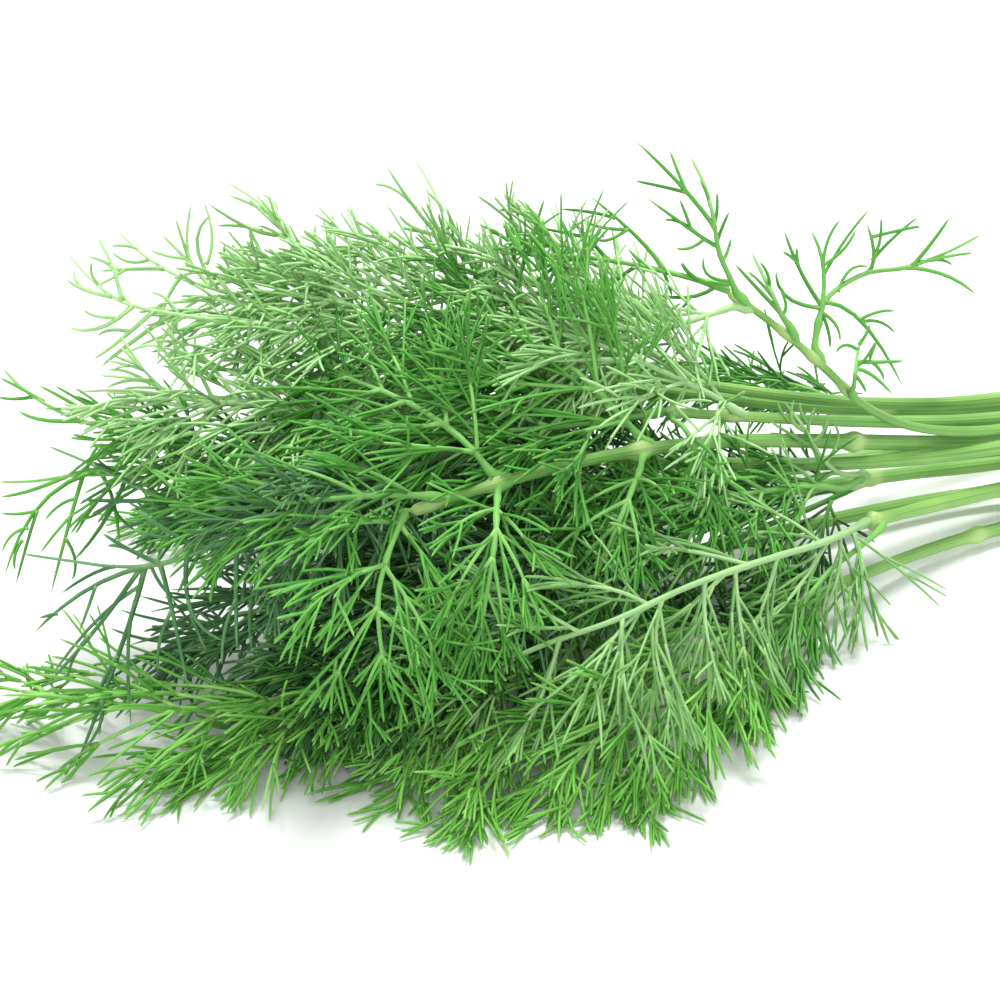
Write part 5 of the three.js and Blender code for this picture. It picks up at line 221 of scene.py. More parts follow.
        path=[[-66.61, -17.31, 6.35], [-72.29, -21.6, 6.7], [-78.64, -24.94, 6.77], [-85.41, -27.23, 6.29], [-92.44, -28.2, 5.08], [-99.51, -28.28, 3.39], [-106.55, -27.87, 1.45]],
        pinnae=[[0.112, 1, 9.5, 38, -7], [0.129, -1, 9.5, 32, 26], [0.322, 1, 9.7, 27, 17], [0.311, -1, 10.9, 25, 0], [0.463, 1, 10.5, 27, -2], [0.45, -1, 11.6, 19, 6], [0.614, 1, 9.7, 22, 13], [0.62, -1, 9, 24, 4], [0.801, 1, 6.6, 18, 3], [0.752, -1, 6.3, 29, -8], [0.92, 1, 4.1, 22, 11], [0.94, -1, 3.8, 22, 23]],
        threads=[]),
    "leaf_39": dict(stem="stem_11", at=0.8846, tint="fresh", rib=0.54, sag=0.37, face=[0.128, -0.344, 0.93],
        path=[[-47.12, -13.99, 7.04], [-52.2, -20.45, 8.42], [-57.67, -26.57, 9.56], [-63.64, -32.14, 9.89], [-70.22, -36.66, 8.66], [-77.02, -39.99, 5.79], [-83.55, -42.4, 1.55]],
        pinnae=[[0.11, 1, 11.9, 39, 8], [0.094, -1, 12.5, 48, 5], [0.263, 1, 14.7, 37, -12], [0.258, -1, 13.7, 49, 2], [0.409, 1, 12.9, 35, 8], [0.422, -1, 13.3, 35, 2], [0.57, 1, 13.3, 36, 4], [0.523, -1, 12.1, 35, 0], [0.698, 1, 10.5, 32, 7], [0.68, -1, 10.8, 17, 12], [0.816, 1, 8.1, 25, 11], [0.814, -1, 7.5, 33, 4], [0.926, 1, 5.3, 29, -6], [0.903, -1, 5.2, 33, 6]],
        threads=[]),
    "leaf_40": dict(stem="stem_11", at=0.8205, tint="fresh", rib=0.54, sag=0.32, face=[0.386, -0.487, 0.783],
        path=[[-35.01, -11.27, 6.86], [-39.52, -17.17, 8.29], [-44.42, -22.78, 9.67], [-49.55, -28.23, 10.74], [-54.83, -33.56, 11.14], [-60.21, -38.69, 10.35], [-65.6, -43.45, 8.25], [-71.01, -47.85, 5.35], [-76.4, -51.93, 1.95]],
        pinnae=[[0.146, 1, 11.7, 44, 16], [0.112, -1, 13, 43, -1], [0.265, 1, 13.6, 30, 12], [0.24, -1, 14.7, 31, -7], [0.382, 1, 14.5, 36, 6], [0.35, -1, 15.8, 35, 9], [0.509, 1, 14.3, 29, 1], [0.483, -1, 15, 32, -1], [0.607, 1, 14.3, 38, 7], [0.597, -1, 12.3, 39, -2], [0.734, 1, 10.2, 31, 4], [0.691, -1, 11.9, 22, 9], [0.827, 1, 6.7, 24, -7], [0.817, -1, 7.2, 22, 3], [0.957, 1, 5.2, 26, -5], [0.934, -1, 5.7, 27, 5]],
        threads=[]),
    "leaf_41": dict(stem="stem_12", at=1, tint="mid", rib=0.54, sag=0.23, face=[-0.171, 0.071, 0.983],
        path=[[-67.33, 28.67, 7.99], [-72.15, 32.27, 9.43], [-77.2, 35.8, 9.26], [-82.3, 39.04, 7.6], [-87.46, 41.89, 5.19], [-92.63, 44.53, 2.45]],
        pinnae=[[0.08, 1, 11.3, 68, 10], [0.083, -1, 12.3, 68, 5], [0.334, 1, 13.1, 57, 4], [0.303, -1, 14, 57, -13], [0.522, 1, 12.5, 48, 6], [0.525, -1, 12.7, 52, 16], [0.748, 1, 9, 40, -11], [0.734, -1, 9.1, 44, -21], [0.95, 1, 4.9, 34, -8], [0.914, -1, 4.6, 39, 0]],
        threads=[]),
    # painted shade: a back leaf given the deep colour so the inside of the bunch looks darker
    "leaf_42": dict(stem="stem_12", at=0.8179, tint="deep", rib=0.54, sag=0.39, face=[-0.15, -0.069, 0.986],
        path=[[-32.37, 23.53, 7.08], [-38.51, 27.84, 9.66], [-45.18, 31.78, 11.48], [-51.9, 36, 12.07], [-58.41, 40.52, 11.28], [-64.71, 45.01, 9.2], [-70.73, 49.31, 6.04], [-76.63, 53.53, 2.45]],
        pinnae=[[0.117, 1, 13.8, 58, 7], [0.105, -1, 15.9, 55, -12], [0.268, 1, 18.1, 54, 7], [0.247, -1, 18, 58, 18], [0.364, 1, 16.9, 53, 0], [0.362, -1, 19, 53, -1], [0.494, 1, 16.7, 37, 1], [0.466, -1, 15.7, 42, 6], [0.626, 1, 15, 48, 6], [0.605, -1, 17.4, 40, 11], [0.736, 1, 13.3, 50, 10], [0.702, -1, 14.3, 38, 14], [0.819, 1, 9.5, 49, 4], [0.832, -1, 8.5, 42, 4], [0.927, 1, 6.5, 37, 5], [0.935, -1, 6.7, 36, 5]],
        threads=[]),
    # painted shade: a back leaf given the deep colour so the inside of the bunch looks darker
    "leaf_43": dict(stem="stem_12", at=0.6872, tint="deep", rib=0.54, sag=0.26, face=[0.187, -0.06, 0.981],
        path=[[-7.9, 17.61, 6.56], [-14.63, 15.62, 10.19], [-21.81, 14.11, 13.24], [-29.25, 12.91, 15.75], [-36.89, 12.06, 17.54], [-44.66, 12.14, 18.5], [-52.31, 13.82, 18.74], [-59.69, 16.64, 18.48], [-66.84, 20.1, 17.95]],
        pinnae=[[0.116, 1, 12.8, 39, 1], [0.104, -1, 13.5, 43, 17], [0.245, 1, 14.1, 36, -4], [0.211, -1, 14, 42, 19], [0.331, 1, 16.4, 31, 20], [0.309, -1, 17.2, 36, 4], [0.452, 1, 15.3, 42, 4], [0.436, -1, 14.4, 41, 5], [0.534, 1, 16.2, 35, -1], [0.51, -1, 15.6, 45, 8], [0.649, 1, 13, 27, 2], [0.644, -1, 13.4, 25, 23], [0.742, 1, 10, 25, 8], [0.735, -1, 10.7, 30, 9], [0.857, 1, 7.3, 34, 7], [0.83, -1, 7.8, 23, 5], [0.95, 1, 6, 23, -7], [0.904, -1, 5.2, 37, 2]],
        threads=[]),
    "leaf_44": dict(stem="stem_05", at=0.997, tint="mid", rib=0.54, sag=0.42, face=[-0.069, -0.619, 0.783],
        path=[[-30.9, -15.71, 36.19], [-33.61, -21.34, 38.41], [-34.53, -27.57, 39.88], [-32.64, -29.19, 34.39], [-31.4, -31.97, 28.41], [-30.56, -33.77, 21.95]],
        pinnae=[[0.499, -34.78, -29.8, 34.34, -36.11, -31.55, 30.99], [0.622, -31.66, -32.08, 30.37, -29.2, -35.7, 26.87], [0.557, -30.54, -31.44, 33.67, -27.87, -34.43, 32.05], [0.736, -32.98, -31.82, 27.29, -34.85, -32.05, 23.75], [0.448, -32.12, -29.87, 37.34, -31.57, -31.43, 36.08]],
        threads=[[-30.77, -31.21, 33.84, -28.58, -32.57, 33.51, -26.19, -33.72, 33.92], [-29.66, -32.43, 33.13, -28.33, -34.15, 31.37, -27.11, -35.98, 29.47], [-34.45, -29.41, 35.11, -35.94, -29.7, 33.25, -37.06, -30.26, 31.03], [-34.67, -29.67, 34.59, -33.88, -30.37, 32.21, -33.69, -30.5, 29.51], [-31.46, -32.37, 30.09, -31.45, -33.17, 27.66, -32.08, -33.37, 25.31], [-31.05, -32.97, 29.5, -28.95, -34.35, 29.03, -26.82, -35.79, 28.68], [-32.55, -31.55, 28.4, -32.24, -33.6, 26.42, -33.7, -35.5, 24.15], [-32.98, -31.82, 27.29, -34.79, -31.74, 26.33, -36.78, -31.35, 25.89], [-33.5, -28.45, 36.9, -31.88, -30.79, 35.84, -30.07, -32.78, 36.44], [-31.63, -31.45, 29.52, -29.75, -33.7, 25.97, -28.72, -35.07, 22.89]]),
    # painted shade: a back leaf given the deep colour so the inside of the bunch looks darker
    "leaf_45": dict(stem="stem_09", at=0.9, tint="deep", rib=0.54, sag=0.31, face=[-0.37, 0.163, 0.914],
        path=[[-44.59, 11.45, 33.45], [-49.53, 16.97, 33.01], [-54.53, 22.3, 32.02], [-59.41, 27.32, 29.72], [-64.19, 31.96, 26.49], [-68.99, 36.17, 22.67], [-73.81, 39.93, 18.4], [-78.63, 43.53, 13.95]],
        pinnae=[[0.177, 1, 14.3, 59, 3], [0.152, -1, 14.5, 61, -2], [0.317, 1, 17, 62, 13], [0.3, -1, 16.2, 45, -5], [0.437, 1, 16.5, 50, -3], [0.439, -1, 18.1, 49, 9], [0.55, 1, 16.9, 45, 2], [0.569, -1, 16.4, 49, 9], [0.685, 1, 13.4, 40, 0], [0.679, -1, 13.2, 48, 0], [0.799, 1, 10.3, 38, -7], [0.798, -1, 10.1, 47, -5], [0.934, 1, 6.1, 40, 18], [0.923, -1, 6.3, 40, 17]],
        threads=[]),
    # painted shade: a back leaf given the deep colour so the inside of the bunch looks darker
    "leaf_46": dict(stem="stem_06", at=0.903, tint="deep", rib=0.54, sag=0.42, face=[0.042, 0.392, 0.919],
        path=[[-22.12, -0.63, 33.73], [-27.7, 4.76, 35.07], [-33.19, 10.23, 35.77], [-38.5, 15.77, 34.78], [-43.55, 21.16, 32.31], [-48.41, 26.25, 28.83], [-53.06, 30.96, 24.55], [-57.63, 35.53, 19.95]],
        pinnae=[[0.148, 1, 16.4, 53, -6], [0.149, -1, 16.7, 49, 7], [0.301, 1, 17, 48, 6], [0.257, -1, 15.9, 58, 17], [0.406, 1, 16.7, 54, 1], [0.386, -1, 17.9, 51, 19], [0.518, 1, 16.6, 51, -7], [0.49, -1, 18.9, 55, 13], [0.635, 1, 14.8, 50, -20], [0.601, -1, 14.4, 41, 13], [0.738, 1, 11.9, 42, 8], [0.731, -1, 14.1, 47, 13], [0.822, 1, 8.4, 33, -1], [0.837, -1, 9.3, 51, -2], [0.926, 1, 6, 41, -1], [0.906, -1, 6.5, 39, 8]],
        threads=[]),
    "leaf_47": dict(stem="stem_09", at=0.5436, tint="mid", rib=0.54, sag=0.42, face=[0.213, 0.54, 0.814],
        path=[[19.21, 13.21, 14.93], [13.06, 18.24, 15.46], [6.61, 22.79, 15.97], [-0.55, 26.12, 16.47], [-8.09, 28.66, 16.8], [-15.79, 30.81, 16.86], [-23.49, 32.91, 16.41], [-31.09, 35.18, 15.33], [-38.63, 37.53, 13.95]],
        pinnae=[[0.096, 1, 14.5, 39, 10], [0.075, -1, 13, 48, 16], [0.205, 1, 15.1, 39, 10], [0.181, -1, 13.5, 49, 4], [0.318, 1, 16.2, 38, 1], [0.302, -1, 14.4, 46, 20], [0.412, 1, 16.2, 32, 14], [0.396, -1, 16, 30, 15], [0.523, 1, 15.1, 42, 10], [0.527, -1, 14.8, 37, 0], [0.64, 1, 12.1, 29, 13], [0.627, -1, 12.8, 36, -3], [0.747, 1, 11.3, 37, 6], [0.703, -1, 11.6, 32, -8], [0.837, 1, 7.4, 26, -7], [0.82, -1, 6.6, 31, 1], [0.92, 1, 5.1, 30, 25], [0.911, -1, 5.8, 36, -1]],
        threads=[]),
    "leaf_48": dict(stem="stem_03", at=0.9289, tint="mid", rib=0.54, sag=0.3, face=[-0.341, -0.667, 0.663],
        path=[[-9.44, -10.51, 44.19], [-11.11, -10.27, 46.53], [-11.97, -9.13, 49.15], [-11.99, -6.48, 50.67], [-11.77, -3.6, 51.8], [-11.56, -0.72, 52.95]],
        pinnae=[[0.232, -14.07, -7.97, 50.3, -17.05, -6.37, 53.98]],
        threads=[[-11.78, -9.38, 48.57, -12.91, -6.62, 50.53, -13.68, -4.13, 51.26], [-11, -10.29, 46.37, -10.23, -10.06, 47.79, -10.81, -9.03, 49.88], [-11.98, -7.92, 49.85, -11.92, -7.14, 51.7, -12.81, -6.13, 53.52]]),
}

MM = 0.001
ORIGIN = np.array([52.631, 2.472, 0.05])   # from the camera's own frame to the row frame

# leaves whose threads are long and nearly parallel, and leaves with more or
# fewer threads than most
LONG = {"leaf_01", "leaf_03", "leaf_06", "leaf_07", "leaf_08", "leaf_16", "leaf_17", "leaf_20", "leaf_22",
        "leaf_23", "leaf_24", "leaf_29", "leaf_33", "leaf_34", "leaf_35", "leaf_37", "leaf_38", "leaf_39",
        "leaf_40"}


# how closely a leaf's side ribs are set with threads, and how long they are,
# for the leaves that differ from the rest
HABIT = {
    "leaf_01": (1.3, 1.0), "leaf_02": (0.55, 0.85), "leaf_03": (1.3, 1.0), "leaf_04": (0.65, 0.9), "leaf_05": (1.25, 1.0),
    "leaf_07": (1.45, 0.95), "leaf_08": (1.2, 0.9), "leaf_13": (2.6, 1.05), "leaf_14": (2.5, 1.1), "leaf_15": (1.6, 0.9),
    "leaf_16": (1.3, 1.0), "leaf_17": (1.4, 1.0), "leaf_19": (1.2, 0.95), "leaf_20": (1.2, 0.95), "leaf_22": (0.9, 0.85),
    "leaf_23": (0.8, 0.8), "leaf_24": (1.2, 0.9), "leaf_25": (1.6, 0.95), "leaf_26": (2.3, 1.0), "leaf_27": (2.3, 1.0),
    "leaf_28": (0.65, 0.8), "leaf_29": (0.75, 0.8), "leaf_30": (0.7, 0.8), "leaf_31": (0.9, 0.9), "leaf_32": (0.8, 0.85),
    "leaf_33": (0.8, 0.85), "leaf_34": (0.7, 0.8), "leaf_36": (1.6, 0.95), "leaf_37": (0.9, 0.95), "leaf_39": (1.2, 0.9),
    "leaf_40": (1.25, 0.9), "leaf_42": (2.6, 1.1), "leaf_43": (2.6, 1.1), "leaf_45": (1.6, 1.0), "leaf_46": (1.6, 1.0),
    "leaf_47": (2.0, 1.0),
}


def unit(v):
    return v / max(np.linalg.norm(v), 1e-9)


# ------------------------------------------------------------------ curves
def smooth_path(points):
    """A smooth curve through the points, as a function of 0..1 by point number,
    giving the place and the direction."""
    p = np.asarray(points, float)
    n = len(p) - 1
    tan = np.empty_like(p)
    tan[1:-1] = (p[2:] - p[:-2]) / 2
    tan[0] = p[1] - p[0]
    tan[-1] = p[-1] - p[-2]

    def at(t):
        x = min(max(t, 0.0), 1.0) * n
        k = min(int(x), n - 1)
        f = x - k
        a, b, m, w = p[k], p[k + 1], tan[k], tan[k + 1]
        q = (2 * f**3 - 3 * f**2 + 1) * a + (f**3 - 2 * f**2 + f) * m + (-2 * f**3 + 3 * f**2) * b + (f**3 - f**2) * w
        d = (6 * f**2 - 6 * f) * a + (3 * f**2 - 4 * f + 1) * m + (-6 * f**2 + 6 * f) * b + (3 * f**2 - 2 * f) * w
        return q, unit(d)
    return at


def frames(points):
    """Directions and a turning-free pair of normals along a polyline."""
    p = np.asarray(points, float)
    t = np.gradient(p, axis=0)
    t /= np.linalg.norm(t, axis=1)[:, None]
    n = np.empty_like(p)
    ref = np.array([0.0, 0.0, 1.0]) if abs(t[0][2]) < 0.9 else np.array([0.0, 1.0, 0.0])
    n[0] = unit(ref - (ref @ t[0]) * t[0])
    for i in range(1, len(p)):
        v = n[i - 1] - (n[i - 1] @ t[i]) * t[i]
        n[i] = unit(v)
    return t, n, np.cross(t, n)


class Build:
    """Gathers quads for one piece."""

    def __init__(self):
        self.v, self.f, self.uv, self.a, self.count = [], [], [], [], 0

    def rings(self, rings, uv, attr=None):
        """rings: (m, s, 3) points round m sections; uv: (m, s + 1, 2); attr: (m,) or None."""
        m, s, _ = rings.shape
        base = self.count
        self.v.append(rings.reshape(-1, 3))
        self.a.append(np.repeat(attr if attr is not None else np.zeros(m), s))
        i = np.arange(m - 1)[:, None] * s
        k = np.arange(s)[None, :]
        k2 = (k + 1) % s
        q = np.stack([i + k, i + k2, i + s + k2, i + s + k], -1).reshape(-1, 4) + base
        self.f.append(q)
        u0, u1 = uv[:-1, :-1], uv[:-1, 1:]
        u2, u3 = uv[1:, 1:], uv[1:, :-1]
        self.uv.append(np.stack([u0, u1, u2, u3], 2).reshape(-1, 4, 2))
        for end, first in ((0, base), (1, base + (m - 1) * s)):
            quads = [(0, j, j + 1, j + 2) for j in range(1, s - 1, 2)]
            for a, b, c, d in quads:
                idx = [first + a, first + b, first + c, first + d % s]
                uu = uv[0 if end == 0 else m - 1]
                tex = [uu[a], uu[b], uu[c], uu[min(d, s)]]
                if end == 0:
                    idx, tex = idx[::-1], tex[::-1]
                self.f.append(np.array([idx]))
                self.uv.append(np.array([tex]))
        self.count += m * s

    def strands(self, p0, p1, p2, r0, r1, tint, sides, ts, prof):
        """Many tapered threads at once, each on the curve p0, p1, p2."""
        K, m = len(p0), len(ts)
        t = np.asarray(ts)[None, :, None]
        a, b, c = p0[:, None], p1[:, None], p2[:, None]
        P = (1 - t) ** 2 * a + 2 * t * (1 - t) * b + t**2 * c
        T = 2 * (1 - t) * (b - a) + 2 * t * (c - b)
        T /= np.maximum(np.linalg.norm(T, axis=2), 1e-9)[..., None]
        chord = c - a
        chord /= np.maximum(np.linalg.norm(chord, axis=2), 1e-9)[..., None]
        ref = np.where(np.abs(chord[..., 2:]) < 0.8, np.array([0.0, 0.0, 1.0]), np.array([1.0, 0.0, 0.0]))
        N = ref - (ref * T).sum(2)[..., None] * T
        N /= np.maximum(np.linalg.norm(N, axis=2), 1e-9)[..., None]
        B = np.cross(T, N)
        R = (r0[:, None] + (r1 - r0)[:, None] * np.asarray(ts)[None]) * np.asarray(prof)[None]
        ang = np.arange(sides) * 2 * math.pi / sides + 0.4
        cs, sn = np.cos(ang), np.sin(ang)
        V = P[:, :, None] + R[:, :, None, None] * (cs[None, None, :, None] * N[:, :, None] + sn[None, None, :, None] * B[:, :, None])
        V[..., 2] = np.maximum(V[..., 2], 0.03)
        base = self.count
        self.v.append(V.reshape(-1, 3))
        self.a.append(np.zeros(K * m * sides))
        i = np.arange(m - 1)[:, None] * sides
        k = np.arange(sides)[None, :]
        k2 = (k + 1) % sides
        q = np.stack([i + k, i + k2, i + sides + k2, i + sides + k], -1).reshape(-1, 4)
        tt = np.asarray(ts)
        uk = k / sides * 0.008
        uk2 = (k + 1) / sides * 0.008
        z = np.zeros((m - 1, 1))
        uq = np.stack([np.stack([uk + z, tt[:-1, None] + 0 * uk], -1), np.stack([uk2 + z, tt[:-1, None] + 0 * uk], -1),
                       np.stack([uk2 + z, tt[1:, None] + 0 * uk], -1), np.stack([uk + z, tt[1:, None] + 0 * uk], -1)], 2).reshape(-1, 4, 2)
        caps, capuv = [], []
        for end, first in ((0, 0), (1, (m - 1) * sides)):
            for j in range(1, sides - 1, 2):
                idx = [first, first + j, first + j + 1, first + (j + 2) % sides]
                e = float(tt[0] if end == 0 else tt[-1])
                dv = 0.004 if end == 0 else -0.004
                tex = [[0.0, e], [0.008, e], [0.008, e + dv], [0.0, e + dv]]
                if end == 0:
                    idx = idx[::-1]
                caps.append(idx)
                capuv.append(tex)
        q = np.vstack([q, np.array(caps)])
        uq = np.concatenate([uq, np.array(capuv)])
        off = base + np.arange(K)[:, None, None] * (m * sides)
        self.f.append((q[None] + off).reshape(-1, 4))
        U = np.repeat(uq[None], K, 0)
        U[..., 0] += tint[:, None, None]
        self.uv.append(U.reshape(-1, 4, 2))
        self.count += K * m * sides

    def finish(self, name, material, node):
        v = np.concatenate(self.v) * MM
        f = np.concatenate(self.f).astype(np.int32)
        uv = np.concatenate(self.uv)
        at = np.concatenate(self.a)
        me = bpy.data.meshes.new(name)
        me.vertices.add(len(v))
        me.vertices.foreach_set("co", v.astype(np.float32).ravel())
        me.loops.add(len(f) * 4)
        me.loops.foreach_set("vertex_index", f.ravel())
        me.polygons.add(len(f))
        me.polygons.foreach_set("loop_start", np.arange(len(f), dtype=np.int32) * 4)
        me.update(calc_edges=True)
        me.validate()
        layer = me.uv_layers.new(name="OFBake")
        layer.data.foreach_set("uv", uv.astype(np.float32).ravel())
        attr = me.attributes.new("pale", "FLOAT", "POINT")
        attr.data.foreach_set("value", at.astype(np.float32))
        me.polygons.foreach_set("use_smooth", np.ones(len(f), dtype=bool))
        me.materials.append(material)
        me.update()
        ob = bpy.data.objects.new(name, me)
        bpy.context.scene.collection.objects.link(ob)
        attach(ob, "root")
        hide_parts(node)
        return ob


# ------------------------------------------------------------------ materials
def rgb(*c):
    return (*c, 1.0)


def node(nt, kind, **kw):
    n = nt.nodes.new(kind)
    for k, v in kw.items():
        setattr(n, k, v)
    return n


def ramp(nt, fac, stops, interpolation="LINEAR"):
    n = nt.nodes.new("ShaderNodeValToRGB")
    n.color_ramp.interpolation = interpolation
    while len(n.color_ramp.elements) < len(stops):
        n.color_ramp.elements.new(0.5)
    for e, (pos, col) in zip(n.color_ramp.elements, stops):
        e.position, e.color = pos, col
    nt.links.new(fac, n.inputs["Fac"])
    return n.outputs["Color"]


def mix(nt, fac, a, b, mode="MIX"):
    n = nt.nodes.new("ShaderNodeMix")
    n.data_type, n.blend_type = "RGBA", mode
    for sock, val in ((n.inputs["Factor"], fac), (n.inputs["A"], a), (n.inputs["B"], b)):
        if isinstance(val, (int, float, tuple)):
            sock.default_value = val
        else:
            nt.links.new(val, sock)
    return n.outputs["Result"]


def math_node(nt, op, a, b=None, c=None):
    n = nt.nodes.new("ShaderNodeMath")
    n.operation = op
    for i, v in enumerate((a, b, c)):
        if v is None:
            continue
        if isinstance(v, (int, float)):
            n.inputs[i].default_value = v
        else:
            nt.links.new(v, n.inputs[i])
    return n.outputs[0]


# colour of the threads from deep to light, then the ribs' own colour, as
# linear numbers
LEAF_COLOURS = {
    "mid":   [(.026, .152, .014), (.082, .345, .040), (.165, .490, .084), (.215, .525, .125)],
    "pale":  [(.095, .280, .055), (.190, .435, .115), (.300, .575, .195), (.350, .600, .245)],
    "blue":  [(.030, .112, .034), (.064, .198, .064), (.118, .305, .110), (.155, .350, .142)],
    "light": [(.185, .430, .125), (.330, .615, .225), (.470, .745, .345), (.450, .710, .325)],
    "fresh": [(.062, .268, .024), (.155, .475, .062), (.285, .640, .135), (.290, .610, .150)],
    # deep: painted shade, the darker green given only to the back and inner leaves (leaf_13, leaf_14, leaf_42, leaf_43,
    # leaf_45, leaf_46) so that the inside of the bunch looks shaded
    "deep":  [(.011, .070, .008), (.030, .152, .018), (.070, .268, .038), (.105, .335, .060)],
}


def leaf_material(tint):
    deep, mid, light, rib = LEAF_COLOURS[tint]
    m = bpy.data.materials.new("dill_leaf_" + tint)
    m.use_nodes = True
    nt = m.node_tree
    bsdf = nt.nodes["Principled BSDF"]
    uv = node(nt, "ShaderNodeUVMap", uv_map="OFBake")
    sep = nt.nodes.new("ShaderNodeSeparateXYZ")
    nt.links.new(uv.outputs["UV"], sep.inputs[0])
    u, v = sep.outputs["X"], sep.outputs["Y"]
    base = ramp(nt, u, [(0.0, rgb(*deep)), (0.40, rgb(*mid)), (0.84, rgb(*light)), (0.88, rgb(*rib)), (1.0, rgb(*rib))])
    # patches a little yellower or duller along each thread
    vec = nt.nodes.new("ShaderNodeCombineXYZ")
    nt.links.new(math_node(nt, "MULTIPLY", u, 60.0), vec.inputs[0])
    nt.links.new(math_node(nt, "MULTIPLY", v, 2.6), vec.inputs[1])
    noise = node(nt, "ShaderNodeTexNoise")
    noise.inputs["Scale"].default_value = 1.0
    noise.inputs["Detail"].default_value = 2.0
    nt.links.new(vec.outputs[0], noise.inputs["Vector"])
    n01 = noise.outputs["Fac"]
    patch = ramp(nt, n01, [(0.30, rgb(.80, .84, .86)), (0.55, rgb(1, 1, 1)), (0.75, rgb(1.18, 1.10, .92))])
    col = mix(nt, 1.0, base, patch, "MULTIPLY")
    # paler where a thread leaves its rib, and lighter at its soft point
    pale = tuple(min(1.0, 0.6 * a + 0.4 * b) for a, b in zip(rib, (.46, .62, .20))) + (1.0,)
    ends = ramp(nt, v, [(0.0, rgb(.60, .60, .60)), (0.10, rgb(.14, .14, .14)), (0.22, rgb(0, 0, 0)), (0.80, rgb(0, 0, 0)), (1.0, rgb(.40, .40, .40))])
    col = mix(nt, ends, col, pale)
    nt.links.new(col, bsdf.inputs["Base Color"])
    rough = ramp(nt, n01, [(0.3, rgb(.62, .62, .62)), (0.7, rgb(.44, .44, .44))])
    nt.links.new(rough, bsdf.inputs["Roughness"])
    # fine lengthwise grooves and small swellings
    grooves = math_node(nt, "SINE", math_node(nt, "MULTIPLY", u, 2 * math.pi * 3 / 0.008))
    lumps = math_node(nt, "MULTIPLY_ADD", n01, 1.2, grooves)
    bump = nt.nodes.new("ShaderNodeBump")
    bump.inputs["Strength"].default_value = 0.25
    bump.inputs["Distance"].default_value = 0.00006
    nt.links.new(lumps, bump.inputs["Height"])
    nt.links.new(bump.outputs["Normal"], bsdf.inputs["Normal"])
    bsdf.inputs["Specular IOR Level"].default_value = 0.30
    bsdf.inputs["Sheen Weight"].default_value = 0.03 if tint != "pale" else 0.12
    bsdf.inputs["Sheen Roughness"].default_value = 0.5
    return m


def stem_material():
    m = bpy.data.materials.new("dill_stem")
    m.use_nodes = True
    nt = m.node_tree
    bsdf = nt.nodes["Principled BSDF"]
    uv = node(nt, "ShaderNodeUVMap", uv_map="OFBake")
    sep = nt.nodes.new("ShaderNodeSeparateXYZ")
    nt.links.new(uv.outputs["UV"], sep.inputs[0])
    u, v = sep.outputs["X"], sep.outputs["Y"]
    vec = nt.nodes.new("ShaderNodeCombineXYZ")
    nt.links.new(math_node(nt, "MULTIPLY", u, 26.0), vec.inputs[0])
    nt.links.new(math_node(nt, "MULTIPLY", v, 3.5), vec.inputs[1])
    fibre = node(nt, "ShaderNodeTexNoise")
    fibre.inputs["Scale"].default_value = 1.0
    fibre.inputs["Detail"].default_value = 4.0
    fibre.inputs["Roughness"].default_value = 0.6
    nt.links.new(vec.outputs[0], fibre.inputs["Vector"])
    geo = nt.nodes.new("ShaderNodeTexCoord")
    blot = node(nt, "ShaderNodeTexNoise")
    blot.inputs["Scale"].default_value = 55.0
    blot.inputs["Detail"].default_value = 3.0
    nt.links.new(geo.outputs["Object"], blot.inputs["Vector"])
    base = ramp(nt, blot.outputs["Fac"], [(0.28, rgb(.105, .300, .045)), (0.5, rgb(.185, .415, .082)), (0.72, rgb(.280, .510, .125))])
    lines = ramp(nt, fibre.outputs["Fac"], [(0.32, rgb(.62, .76, .55)), (0.5, rgb(1, 1, 1)), (0.68, rgb(1.30, 1.18, 1.25))])
    ridge = math_node(nt, "SINE", math_node(nt, "MULTIPLY", u, 2 * math.pi * 12))
    ridge01 = math_node(nt, "MULTIPLY_ADD", ridge, 0.5, 0.5)
    col = mix(nt, 1.0, base, lines, "MULTIPLY")
    col = mix(nt, math_node(nt, "MULTIPLY", ridge01, 0.16), col, rgb(.42, .64, .28))
    pale = node(nt, "ShaderNodeAttribute", attribute_name="pale")
    pa = pale.outputs["Fac"]
    knot = math_node(nt, "MINIMUM", pa, 1.0)
    col = mix(nt, math_node(nt, "MULTIPLY", knot, 0.80), col, rgb(.47, .66, .24))
    pith = math_node(nt, "MAXIMUM", math_node(nt, "SUBTRACT", pa, 1.0), 0.0)
    col = mix(nt, pith, col, rgb(.72, .80, .52))
    nt.links.new(col, bsdf.inputs["Base Color"])
    rough = ramp(nt, blot.outputs["Fac"], [(0.3, rgb(.36, .36, .36)), (0.7, rgb(.52, .52, .52))])
    nt.links.new(rough, bsdf.inputs["Roughness"])
    h = math_node(nt, "MULTIPLY_ADD", fibre.outputs["Fac"], 1.5, ridge01)
    bump = nt.nodes.new("ShaderNodeBump")
    bump.inputs["Strength"].default_value = 0.35
    bump.inputs["Distance"].default_value = 0.00012
    nt.links.new(h, bump.inputs["Height"])
    nt.links.new(bump.outputs["Normal"], bsdf.inputs["Normal"])
    bsdf.inputs["Specular IOR Level"].default_value = 0.42
    bsdf.inputs["Coat Weight"].default_value = 0.08
    bsdf.inputs["Coat Roughness"].default_value = 0.35
    return m


MATS = {t: leaf_material(t) for t in LEAF_COLOURS}
STEM_MAT = stem_material()

# ------------------------------------------------------------------ stems
knots = {k: [] for k in STEMS}
for lf in LEAVES.values():
    knots[lf["stem"]].append(lf["at"])
# joints that have lost their leaf
knots["stem_01"].append(0.596)
knots["stem_07"].append(0.629)


